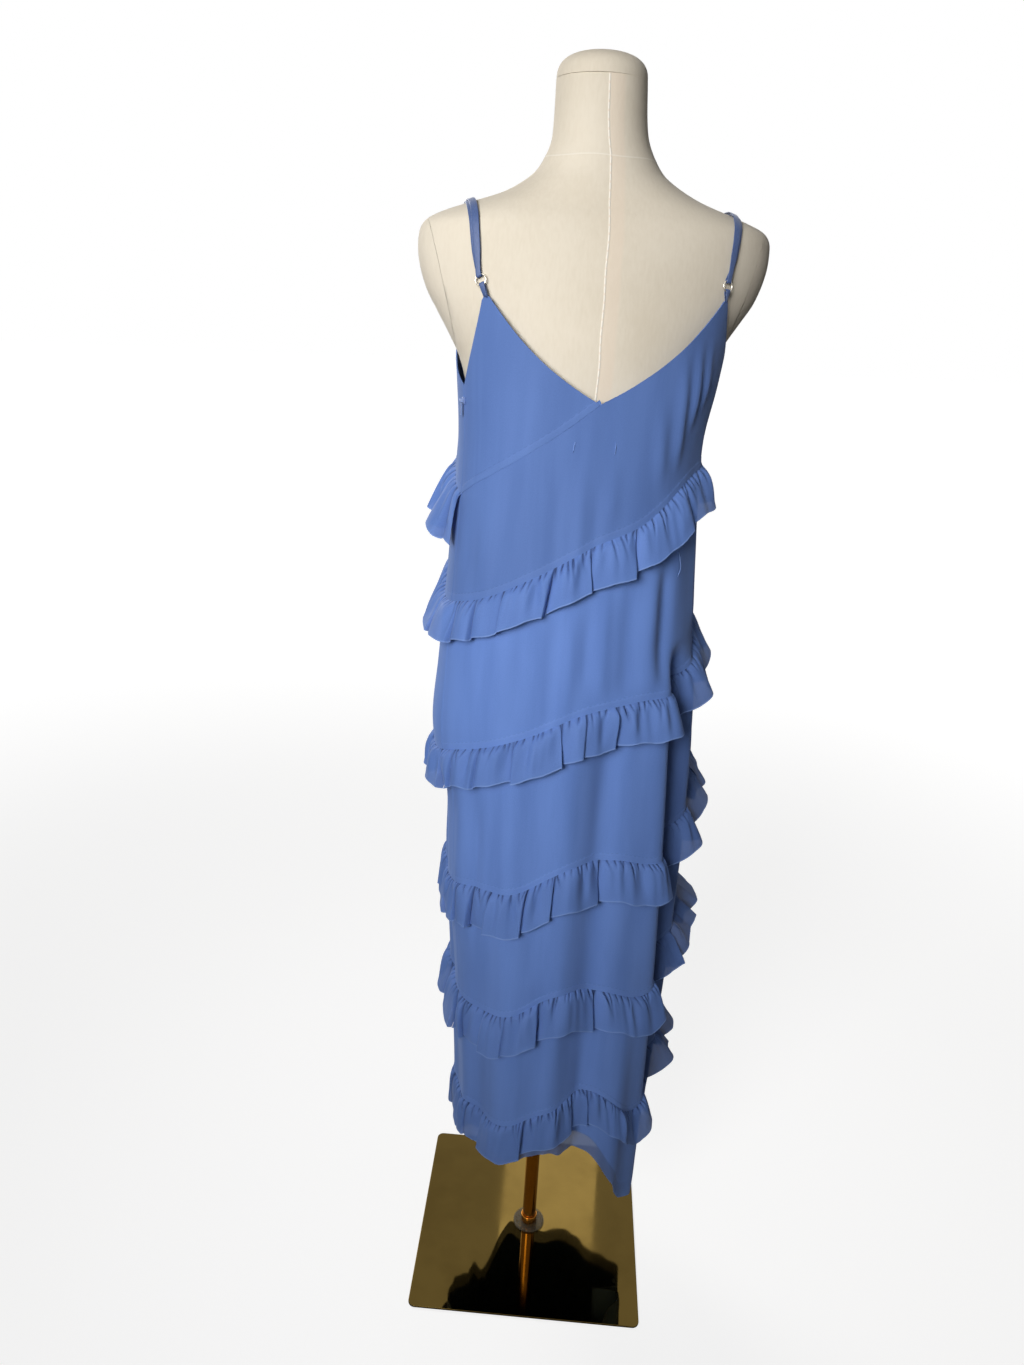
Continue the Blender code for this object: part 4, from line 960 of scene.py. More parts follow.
@dataclass
class ClothSheet:
    """Thin closed shell on a grid of points that are its outer side, with flat coordinates."""

    name: str
    grid: Array
    flat: Array
    thickness: Array
    marks: dict[str, Array | float]

    def normals(self) -> Array:
        """Unit normals of the grid, out of the cloth."""
        along = np.gradient(self.grid, axis=1)
        down = np.gradient(self.grid, axis=0)
        normal = np.cross(along, down)
        length = np.linalg.norm(normal, axis=-1, keepdims=True)
        return normal / np.maximum(length, 1e-12)

    @staticmethod
    def rim_faces(outer: Array, inner: Array) -> Array:
        """Faces that close the four edges between the outer and the inner side."""
        strips = (
            (outer[0, ::-1], inner[0, ::-1]),
            (outer[-1], inner[-1]),
            (outer[:, 0], inner[:, 0]),
            (outer[::-1, -1], inner[::-1, -1]),
        )
        made = []
        for out, back in strips:
            made.append(np.stack((out[:-1], out[1:], back[1:], back[:-1]), axis=-1))
        return np.concatenate(made)

    def build(self) -> Object:
        """Make the object.

        Returns:
            Mesh object in the scene's collection, smooth, with its rim's edges sharp.
        """
        rows, columns, _ = self.grid.shape
        inner = self.grid - self.normals() * self.thickness[..., None]
        points = np.concatenate((self.grid.reshape(-1, 3), inner.reshape(-1, 3)))
        outer_id = np.arange(rows * columns).reshape(rows, columns)
        inner_id = outer_id + rows * columns
        quads = []
        for index, turned in ((outer_id, False), (inner_id, True)):
            corners = [index[:-1, :-1], index[:-1, 1:], index[1:, 1:], index[1:, :-1]]
            if turned:
                corners.reverse()
            quads.append(np.stack(corners, axis=-1).reshape(-1, 4))
        quads.append(self.rim_faces(outer_id, inner_id))
        faces = np.concatenate(quads)

        mesh = bpy.data.meshes.new(self.name)
        mesh.from_pydata(points.tolist(), [], faces.tolist())
        mesh.shade_smooth()
        self.sharpen_rim(mesh, outer_id, inner_id)
        self.lay_flat(mesh)
        for name, values in self.marks.items():
            spread = np.broadcast_to(values, (rows, columns)).ravel()
            mark_points(mesh, name, np.concatenate((spread, spread)))
        return added(self.name, mesh)

    @staticmethod
    def sharpen_rim(mesh: Mesh, outer_id: Array, inner_id: Array) -> None:
        """Mark the edges between the sides and the rim as sharp."""
        on_rim = np.zeros(len(mesh.vertices), dtype=bool)
        for index in (outer_id, inner_id):
            for line in (index[0], index[-1], index[:, 0], index[:, -1]):
                on_rim[line] = True
        ends = np.empty(len(mesh.edges) * 2, dtype=np.int64)
        mesh.edges.foreach_get("vertices", ends)
        sharp = on_rim[ends.reshape(-1, 2)].all(axis=1)
        layer = mesh.attributes.new("sharp_edge", "BOOLEAN", "EDGE")
        layer.data.foreach_set("value", sharp)

    def lay_flat(self, mesh: Mesh) -> None:
        """Give both sides the cloth's flat coordinates, in metres."""
        corner = np.empty(len(mesh.loops), dtype=np.int64)
        mesh.loops.foreach_get("vertex_index", corner)
        flat = self.flat.reshape(-1, 2)
        both = np.concatenate((flat, flat))
        layer = mesh.uv_layers.new(name="cloth")
        layer.data.foreach_set("uv", both[corner].astype(np.float32).ravel())

    def measure(self) -> Triple:
        """Width, length and area of the sheet when it is laid flat, in metres."""
        along = np.linalg.norm(np.diff(self.grid, axis=1), axis=-1)
        down = np.linalg.norm(np.diff(self.grid, axis=0), axis=-1)
        width, length = float(along.sum(axis=1).max()), float(down.sum(axis=0).max())
        cells = (along[:-1] + along[1:]) / 2.0 * (down[:, :-1] + down[:, 1:]) / 2.0
        return width, length, float(cells.sum())


def dressed(piece: Object, material: Material, node: str,
            body: str = DRESS_BODY) -> Object:
    """Give a piece its material and its place in the frame.

    Args:
        piece: The finished object.
        material: Its finish.
        node: The solid that it stands for.
        body: The body that it moves with.

    Returns:
        The same object.
    """
    piece.data.materials.clear()
    piece.data.materials.append(material)
    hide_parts(node)
    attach(piece, body)
    return piece


@dataclass
class Panel:
    """One cut panel of the body, tucked under its neighbours where it is sewn to them."""

    node: str
    surface: DressSurface
    start: float
    stop: float
    upper: Heights
    lower: Heights
    rests_on: tuple[str, ...]
    hold: Hold
    free_top: Heights = lambda angle: np.zeros(angle.shape, dtype=bool)
    banded: bool = True
    tuck_start: bool = False
    tuck_stop: bool = False
    is_hem: bool = False
    # Whether the panel takes the painted bodice shade
    has_bodice_shade: bool = False
    column_step: float = 1.2
    row_step: float = 0.0046
    wall: float = 0.0006
    tuck: float = 0.0009
    tuck_height: float = 0.006
    tuck_start_height: float = 0.0008
    least_step: float = 0.00002
    tuck_turn: float = 1.3
    band_height: float = 0.0093
    band_rise: float = 0.00045
    band_waves: tuple[Pair, ...] = ((0.0006, 61.0), (0.0004, 147.0))
    short_span: float = 0.024
    sheer_height: float = 0.030
    # Strength of the painted shade in and beyond the long folds
    hollow_shade: float = 0.78
    turned_wall: float = 0.0006
    turned_edge: float = 0.0030
    rolled_wall: float = 0.0005
    rolled_edge: float = 0.0020
    flutter: float = 0.0009
    top_rows: tuple[float, ...] = (0.0, 0.0010, 0.0022, 0.0040)
    low_rows: tuple[float, ...] = (0.0112, 0.0098, 0.0085, 0.0060, 0.0032, 0.0012, 0.0)

    def angles(self) -> tuple[Array, Array]:
        """Column angles, and how far each is tucked under a neighbour (0 to 1)."""
        count = max(int(round((self.stop - self.start) / self.column_step)), 4)
        made = np.linspace(self.start, self.stop, count + 1)
        tucked = np.zeros(len(made))
        if self.tuck_start:
            made = np.concatenate(([self.start - self.tuck_turn, self.start - 0.25], made))
            tucked = np.concatenate(([1.0, 0.9], tucked))
        if self.tuck_stop:
            made = np.concatenate((made, [self.stop + 0.25, self.stop + self.tuck_turn]))
            tucked = np.concatenate((tucked, [0.9, 1.0]))
        return made, tucked

    def heights(self, top: Array, low: Array) -> Array:
        """Row heights, close together near both edges."""
        span = top - low
        squeeze = np.minimum(span / self.short_span, 1.0)
        upper = [top - step * squeeze for step in self.top_rows]
        under = [low + step * squeeze for step in self.low_rows]
        count = max(int(round(float(span.max()) / self.row_step)), 3)
        middle = [upper[-1] + (under[0] - upper[-1]) * i / count for i in range(1, count)]
        return np.stack(upper + middle + under)

    def build(self, material: Material) -> Object:
        """Make the panel.

        Args:
            material: Its finish.

        Returns:
            The panel's object.
        """
        angle, tucked = self.angles()
        held = np.clip(angle, self.start, self.stop)
        top, low = self.upper(held), self.lower(held)
        free = self.free_top(held)
        height = self.heights(top, low)
        sunk = np.broadcast_to(tucked, height.shape).copy()
        above = np.where(free, 0.0, 1.0)
        margins = [top + above * self.tuck_height, top + above * self.tuck_start_height]
        height = np.concatenate((np.stack(margins), height))
        sunk = np.concatenate((np.stack((np.maximum(tucked, above), ) * 2), sunk))
        height[:2] += np.where(free, self.least_step, 0.0) * np.array([[2.0], [1.0]])
        angles = np.broadcast_to(angle, height.shape)
        above_low = np.maximum(height - low, 0.0)
        below_top = np.where(free, np.maximum(top - height, 0.0), FAR)

        turn = np.radians(angles)
        lift = -self.tuck * sunk
        if self.banded:
            edge = self.band_height
            for size, waves in self.band_waves:
                edge = edge + size * np.sin(turn * waves)
            raised = smooth_step((edge - above_low) / 0.0012)
            pucker = 1.0 + 0.35 * np.sin(turn * 155.0 + 9.0 * height)
            lift = lift + self.band_rise * raised * pucker
        if self.is_hem:
            lift = lift + self.flutter * np.sin(turn * 37.0) * bell(above_low, 0.02)
        grid = self.surface.on_dress(angles, height, lift)
        wall = self.wall + self.turned_wall * smooth_step(1.0 - below_top / self.turned_edge)
        if self.is_hem:
            wall = wall + self.rolled_wall * smooth_step(1.0 - above_low / self.rolled_edge)
        sheer = smooth_step((self.sheer_height - above_low) / 0.004) if self.is_hem else 0.0
        sheer = sheer * (1.0 - bell(turn_from(angles, -72.0), 27.0))

        sheet = ClothSheet(self.node + "_cloth", grid, self.lay(grid, height), wall, {
            "to_hem": above_low if self.is_hem else FAR,
            "to_seam": above_low if self.banded else FAR,
            "to_edge": below_top,
            "sheer": sheer,
            # Painted shade in and beyond the long folds at the right of the back
            "shade": self.hollow_shade * self.surface.painted_fold_shade(angles, height),
            # Painted shade on the bodice panels
            "bodice_shade": 1.0 if self.has_bodice_shade else 0.0,
        })
        piece = dressed(sheet.build(), material, self.node)
        width, length, area = sheet.measure()
        LOG.info("%s: cut %.0f x %.0f mm, area %.4f m2", piece.name, width * 1e3, length * 1e3,
                 area)
        return piece

    @staticmethod
    def lay(grid: Array, height: Array) -> Array:
        """Flat coordinates of the grid: along the middle row, and height for the other way."""
        along = np.linalg.norm(np.diff(grid[len(grid) // 2], axis=0), axis=-1)
        across = np.concatenate(([0.0], np.cumsum(along)))
        return np.stack(np.broadcast_arrays(across[None, :], height), axis=-1)


@dataclass
class GatheredFrill:
    """Strip of chiffon gathered into a seam: notches at the seam, lobes and deep folds below."""

    node: str
    surface: DressSurface
    start: float
    stop: float
    seam: Heights
    cut: FrillCut
    valleys: Sequence[Valley]
    rests_on: tuple[str, ...]
    seed: int
    caught: tuple[float, ...] = ()
    column_step: float = 0.00112
    rows: tuple[float, ...] = (
        -0.060, 0.0, 0.035, 0.075, 0.12, 0.17, 0.23, 0.30, 0.38, 0.46, 0.54, 0.62, 0.70, 0.78,
        0.85, 0.91, 0.955, 0.975, 1.0)
    wall: float = 0.00045
    rolled_wall: float = 0.0007
    rolled_edge: float = 0.0022
    tuck: float = 0.0010
    fullness: float = 1.35
    full_drop: float = 1.06
    waves: tuple[Pair, ...] = (
        (0.0135, 0.0004), (0.0200, 0.0008), (0.0290, 0.0013), (0.0560, 0.0019))
    puff: float = 0.0046
    puff_over: float = 0.0032
    calm: float = 0.42
    bridge: float = 0.45
    lay: float = 0.0004
    growth: float = 0.85
    lobe_share: float = 1.28
    flare_left: float = 98.0
    flare_right: float = 262.0
    flare_spread: float = 24.0
    hem_step: float = 0.55
    # Strength of the painted shade in and beyond the long folds
    hollow_shade: float = 0.70
    # Deep folds and notches that are drawn by lot: least value, and how much more
    fold_steps: Pair = (13.0, 13.0)
    fold_depths: Pair = (0.45, 0.5)
    fold_widths: Pair = (0.0045, 0.0025)
    fold_overlaps: Pair = (0.002, 0.005)
    fold_lean: float = 0.012
    notch_steps: Pair = (0.0042, 0.0088)
    notch_widths: Pair = (0.0007, 0.0007)
    notch_depths: Pair = (0.0026, 0.0040)
    notch_reaches: Pair = (0.0045, 0.0125)
    notch_lean: float = 0.7
    caught_share: float = 0.25
    caught_spread: float = 14.0

    def stand_off(self, angle: Array) -> Array:
        """How far the hem stands off the cloth behind it."""
        flare = np.full(np.shape(angle), self.cut.flare)
        for side, centre in ((self.cut.left, self.flare_left), (self.cut.right, self.flare_right)):
            near = bell(turn_from(angle, centre), self.flare_spread)
            flare = flare + (side - self.cut.flare) * near
        return flare

    def along_seam(self) -> tuple[Array, Array]:
        """Angles round the body and the length of seam run up to each."""
        angle = np.linspace(-98.0, 274.0, 1489)
        line = self.surface.on_dress(angle, self.seam(angle))
        steps = np.linalg.norm(np.diff(line, axis=0), axis=-1)
        return angle, np.concatenate(([0.0], np.cumsum(steps)))

    def all_valleys(self, lot: np.random.Generator) -> list[Valley]:
        """The placed deep folds, and others drawn for the sides that none is placed on."""
        made = list(self.valleys)
        behind = [fold.angle for fold in made if fold.angle < 100.0]
        beside = [fold.angle for fold in made if fold.angle > 200.0]
        angle = max(behind) + 11.0
        last = min(beside, default=268.0) - 9.0
        while angle < last:
            made.append(Valley(angle, drawn(lot, self.fold_depths), drawn(lot, self.fold_widths),
                               drawn(lot, self.fold_overlaps),
                               self.fold_lean * (lot.random() - 0.5)))
            angle += drawn(lot, self.fold_steps)
        return made

    def deep_folds(self, run: Array, share: Array, lot: np.random.Generator,
                   run_at: Heights) -> tuple[Array, ...]:
        """Deep folds, each steep on the side that laps over and gentle on the other.

        Returns:
            How deep each place lies (0 to 1), its shift along the seam, its shade, and how much
            lower the fold lets it hang.
        """
        dip = np.zeros((share.shape[0], run.shape[1]))
        shift, shade, step = np.zeros_like(dip), np.zeros_like(dip), np.zeros_like(dip)
        for number, valley in enumerate(self.all_valleys(lot)):
            side = 1.0 if number % 5 == 1 else -1.0
            away = run - run_at(np.array([valley.angle]))[0] - valley.lean * share
            steep = valley.width * (0.26 + 0.20 * share)
            gentle = valley.width * (0.75 + 1.9 * share)
            slope = np.where(away * side > 0.0, gentle, steep)
            taper = 1.0 - 0.35 * (1.0 - valley.depth) * share
            dip = dip + valley.depth * taper * bell(away / slope, 1.0)
            reach = away / (valley.width * (0.5 + 0.7 * share))
            shift = shift - valley.overlap * share**0.8 * 1.65 * reach * np.exp(-(reach**2) / 2.0)
            # Painted shade inside each deep fold, wider on its gentle side
            inside = valley.width * np.where(away * side > 0.0, 0.42 + 0.5 * share, 0.22)
            shade = shade + valley.depth * bell(away / inside, 1.0) * (1.0 - 0.45 * share)
            jump = np.tanh(-side * away / 0.0020) * np.exp(-np.abs(away) / 0.020)
            step = step + self.hem_step * valley.overlap * jump * share**1.3
        return np.minimum(dip, 0.96), shift, shade, step

    def gathers(self, run: Array, depth: Array, share: Array,
                lot: np.random.Generator) -> tuple[Array, Array]:
        """Short uneven notches under the seam: how far each goes in, and its shade."""
        notches = np.zeros((share.shape[0], run.shape[1]))
        shade = np.zeros_like(notches)
        place = float(run.min()) + 0.003
        while place < float(run.max()):
            sharp = drawn(lot, self.notch_widths)
            size = drawn(lot, self.notch_depths, 1.5)
            reach = drawn(lot, self.notch_reaches, 2.4)
            lean = self.notch_lean * (lot.random() - 0.5)
            away = (run - place - lean * depth) / (sharp * (1.0 + 1.7 * share))
            fading = np.exp(-((depth / reach) ** 2))
            notches = notches + size * bell(away, 1.0) * fading
            # Painted shade in each gather notch, darkest at the seam
            darker = size * 300.0 * bell(away * 1.25, 1.0)
            shade = shade + darker * np.exp(-((depth / reach) ** 2) * 1.5)
            place += drawn(lot, self.notch_steps)
        return notches, shade

    def shape(self, run: Array, down: Array, angle_at: Heights,
              run_at: Heights) -> tuple[Array, ...]:
        """Stand-off, sideways shift, shade and droop of the strip.

        Args:
            run: Length along the seam, for each column.
            down: Share of the way down the strip, for each row.
            angle_at: Gives the angle at a length along the seam.
            run_at: Gives the length along the seam at an angle.

        Returns:
            The lift off the cloth behind, the shift along the seam, how much each place is
            shaded by the folds (0 to 1) and how much lower they let it hang, rows by columns.
        """
        lot = np.random.default_rng(self.seed)
        run = run[None, :]
        share = np.clip(down, 0.0, 1.0)[:, None]
        depth = share * self.cut.drop
        dip, shift, deep, droop = self.deep_folds(run, share, lot, run_at)

        swell = np.zeros_like(dip)
        for length, size in self.waves:
            phase = lot.random() * math.tau
            wander = 0.9 * np.sin(run * math.tau / (length * 5.3) + phase * 2.0)
            swell = swell + size * np.sin(run * math.tau / length + phase + wander)
        swell = swell * np.sin(math.pi * np.minimum(share**0.72, 0.88))
        notches, notch_shade = self.gathers(run, depth, share, lot)

        angle = angle_at(run)
        beside = self.lobe_share * (1.0 - self.calm * bell(turn_from(angle, 4.0), 46.0))
        ends = np.ones_like(angle)
        for end in self.caught:
            ends = np.minimum(ends, self.caught_share + np.abs(angle - end) / self.caught_spread)
        lobes = self.stand_off(angle) * beside * share**self.growth * (1.0 - dip) * ends
        puff = self.puff * (1.0 - np.exp(-depth / self.puff_over)) * (1.0 - 0.75 * dip)
        lift = puff + lobes + swell * ends - notches
        # Painted shade of the deep folds and the gather notches
        shade = np.clip(deep, 0.0, 1.0) + np.clip(notch_shade, 0.0, 1.0) * (1.0 - share)
        return self.lay + np.maximum(lift, 0.0), shift, np.clip(shade, 0.0, 1.0), droop

    def build(self, material: Material) -> Object:
        """Make the frill.

        Args:
            material: Its finish.

        Returns:
            The frill's object.
        """
        table_angle, table_run = self.along_seam()

        def angle_at(run: Array) -> Array:
            """Angle at a length along the seam."""
            return np.interp(run, table_run, table_angle)

        def run_at(angle: Array) -> Array:
            """Length along the seam at an angle."""
            return np.interp(angle, table_angle, table_run)

        ends = run_at(np.array([self.start, self.stop]))
        count = int(round((ends[1] - ends[0]) / self.column_step))
        run = np.linspace(ends[0], ends[1], count + 1)
        down = np.array(self.rows)
        lift, shift, shade, droop = self.shape(run, down, angle_at, run_at)
        held = np.clip(run[None, :] + shift, ends[0], ends[1])
        angle = angle_at(held)

        share = np.clip(down, 0.0, 1.0)[:, None]
        straight = (self.cut.drop * self.full_drop) ** 2
        slack = np.sqrt(np.maximum(straight - lift[-1] ** 2, 0.0))[None, :]
        ragged = 1.0 + 0.02 * np.sin(run * 190.0 + self.seed)[None, :]
        ragged = ragged + 0.022 * np.sin(run * 83.0 + self.seed * 1.7)[None, :]
        fall = slack * ragged * share + np.minimum(down, 0.0)[:, None] * self.cut.drop
        height = self.seam(angle) - fall - droop
        here = self.surface.outside(angle, height)
        blurred = np.zeros_like(here)
        for step in (-7.0, -3.5, 0.0, 3.5, 7.0):
            blurred = blurred + self.surface.outside(angle + step, height) / 5.0
        base = np.maximum(here, here + (blurred - here) * share * self.bridge)
        tucked = np.where(down < 0.0, -self.tuck, 0.0)[:, None]
        grid = self.surface.place(angle, height, base + lift + tucked)

        hem = self.cut.drop * (1.0 - share) * np.ones_like(height)
        wall = self.wall + self.rolled_wall * smooth_step(1.0 - hem / self.rolled_edge)
        flat = np.stack(np.broadcast_arrays(run[None, :] * self.fullness, -hem), axis=-1)
        # Painted shade in and beyond the long folds at the right of the back
        shade = np.maximum(shade, self.hollow_shade * self.surface.painted_fold_shade(angle, height))
        sheet = ClothSheet(self.node + "_cloth", grid, flat, wall,
                           {**PLAIN_MARKS, "to_hem": hem, "shade": shade})
        piece = dressed(sheet.build(), material, self.node)
        return piece


# ------------------------------------------------------------------ bands and hard pieces


@dataclass
class Band:
    """Narrow turned band of satin through stations, with soft rounded edges."""

    name: str
    stations: Sequence[Station]
    thickness: float = 0.0010
    fineness: int = 4

    PROFILE = (
        (-0.50, 0.0), (-0.47, -0.35), (-0.36, -0.50), (0.0, -0.42), (0.36, -0.50), (0.47, -0.35),
        (0.50, 0.0), (0.47, 0.35), (0.36, 0.50), (0.0, 0.42), (-0.36, 0.50), (-0.47, 0.35))

    def finer(self) -> list[Station]:
        """Stations on a smooth curve through the given ones."""
        stops = list(self.stations)
        made = []
        for place in range(len(stops) - 1):
            before, low = stops[max(place - 1, 0)], stops[place]
            high, after = stops[place + 1], stops[min(place + 2, len(stops) - 1)]
            for step in range(self.fineness):
                share = step / self.fineness
                centre = self.curve(before.centre, low.centre, high.centre, after.centre, share)
                made.append(Station(
                    centre, low.normal.lerp(high.normal, share).normalized(),
                    low.across.lerp(high.across, share).normalized(),
                    low.width + (high.width - low.width) * share))
        return made + [stops[-1]]

    @staticmethod
    def curve(before: Vector, low: Vector, high: Vector, after: Vector, share: float) -> Vector:
        """Point between two places on a smooth curve, whose slopes suit uneven steps."""
        span = max((high - low).length, 1e-9)
        near = max((high - low).length + (low - before).length, 1e-9)
        far = max((after - high).length + (high - low).length, 1e-9)
        slope_low = (high - before) * (span / near)
        slope_high = (after - low) * (span / far)
        return cubic(low, high, slope_low, slope_high, share)

    def build(self) -> Object:
        """Make the band as a closed mesh, with its own coordinates across and along."""
        stops = self.finer()
        count = len(self.PROFILE)
        points, flat, run = [], [], 0.0
        for place, stop in enumerate(stops):
            if place:
                run += (stop.centre - stops[place - 1].centre).length
            for across, out in self.PROFILE:
                points.append(stop.centre + stop.across * (across * stop.width)
                              + stop.normal * (out * self.thickness))
                flat.append((across * stop.width, run))
        faces = []
        for place in range(len(stops) - 1):
            for step in range(count):
                here, beside = place * count + step, place * count + (step + 1) % count
                faces.append((here, beside, beside + count, here + count))
        faces.append(tuple(reversed(range(count))))
        faces.append(tuple(range(len(points) - count, len(points))))
        mesh = bpy.data.meshes.new(self.name)
        mesh.from_pydata(points, [], faces)
        outward_faces(mesh)
        mesh.shade_smooth()
        layer = mesh.uv_layers.new(name="cloth")
        for loop in mesh.loops:
            layer.data[loop.index].uv = flat[loop.vertex_index]
        return added(self.name, mesh)


def outward_faces(mesh: Mesh) -> None:
    """Turn a closed mesh's faces outwards."""
    shape = bmesh.new()
    shape.from_mesh(mesh)
    bmesh.ops.recalc_face_normals(shape, faces=shape.faces)
    if shape.calc_volume(signed=True) < 0.0:
        bmesh.ops.reverse_faces(shape, faces=shape.faces)
    shape.to_mesh(mesh)
    shape.free()


class Workshop:
    """Hard pieces modelled with Blender's own tools."""

    @staticmethod
    def clear() -> None:
        """Leave nothing selected."""
        if bpy.context.object and bpy.context.object.mode != "OBJECT":
            bpy.ops.object.mode_set(mode="OBJECT")
        bpy.ops.object.select_all(action="DESELECT")

    @staticmethod
    def hold(item: Object) -> None:
        """Select one object alone and make it the active one."""
        Workshop.clear()
        item.select_set(True)
        bpy.context.view_layer.objects.active = item

    @staticmethod
    def smoothed(item: Object, angle: float = 40.0) -> Object:
        """Shade an object smooth up to an angle between faces, in degrees."""
        Workshop.hold(item)
        bpy.ops.object.shade_smooth_by_angle(angle=math.radians(angle))
        return item

    @staticmethod
    def turned(name: str, corners: Sequence[Pair], steps: int,
               closed: bool) -> Object:
        """Piece spun round Z from a profile.

        Args:
            name: The piece's name.
            corners: The profile, as (radius, height).
            steps: Steps all round.
            closed: Whether the last corner joins the first, as on a ring.

        Returns:
            Closed object at the origin.
        """
        mesh = bpy.data.meshes.new(name)
        edges = [(i, i + 1) for i in range(len(corners) - 1)]
        if closed:
            edges.append((len(corners) - 1, 0))
        mesh.from_pydata([(radius, 0.0, height) for radius, height in corners], edges, [])
        made = added(name, mesh)
        Workshop.hold(made)
        bpy.ops.object.mode_set(mode="EDIT")
        bpy.ops.mesh.select_all(action="SELECT")
        bpy.ops.mesh.spin(steps=steps, angle=math.tau, center=(0.0, 0.0, 0.0),
                          axis=(0.0, 0.0, 1.0))
        bpy.ops.mesh.select_all(action="SELECT")
        bpy.ops.mesh.remove_doubles(threshold=0.00002)
        bpy.ops.mesh.normals_make_consistent(inside=False)
        bpy.ops.object.mode_set(mode="OBJECT")
        outward_faces(mesh)
        return Workshop.smoothed(made, SHARP_TURN)

    @staticmethod
    def rounded(corners: Sequence[Pair], radius: float) -> list[Pair]:
        """Profile with each of its inner corners rounded off by a small arc."""
        made = [corners[0]]
        for before, here, after in zip(corners, corners[1:], corners[2:]):
            here_at = Vector(here)
            first = (Vector(before) - here_at).normalized() * radius
            last = (Vector(after) - here_at).normalized() * radius
            for step in range(4):
                share = step / 3.0
                start = here_at + first * (1.0 - share)
                end = here_at + last * share
                made.append(tuple(start.lerp(end, share)))
        return made + [corners[-1]]

    @staticmethod
    def round_edges(item: Object, width: float, segments: int, turn: float) -> None:
        """Round a piece's edges where its faces turn by more than so many degrees."""
        step = item.modifiers.new("edges", "BEVEL")
        step.width = width
        step.segments = segments
        step.limit_method = "ANGLE"
        step.angle_limit = math.radians(turn)
        bpy.ops.object.modifier_apply(modifier=step.name)

    @staticmethod
    def refined(node: str, bevel: float, segments: int = 2, smooth: int = 0) -> Object:
        """Finer copy of a solid: merged, with its flat faces joined, and its edges rounded.

        Args:
            node: The solid to copy.
            bevel: Width of the rounding, in metres; none where it is 0.
            segments: Steps across the rounding.
            smooth: Levels of subdivision, for a round wire.

        Returns:
            New object at the origin.
        """
        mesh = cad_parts[node].data.copy()
        mesh.name = node + "_piece"
        made = added(mesh.name, mesh)
        Workshop.hold(made)
        bpy.ops.object.mode_set(mode="EDIT")
        bpy.ops.mesh.select_all(action="SELECT")
        bpy.ops.mesh.customdata_custom_splitnormals_clear()
        bpy.ops.mesh.remove_doubles(threshold=0.00001)
        if not smooth:
            bpy.ops.mesh.dissolve_limited(angle_limit=math.radians(2.0))
        bpy.ops.object.mode_set(mode="OBJECT")
        if bevel:
            Workshop.round_edges(made, bevel, segments, SHARP_TURN)
        if smooth:
            step = made.modifiers.new("round", "SUBSURF")
            step.levels = smooth
            step.render_levels = smooth
            bpy.ops.object.modifier_apply(modifier=step.name)
        return Workshop.smoothed(made, SHARP_TURN)


# ------------------------------------------------------------------ the dress


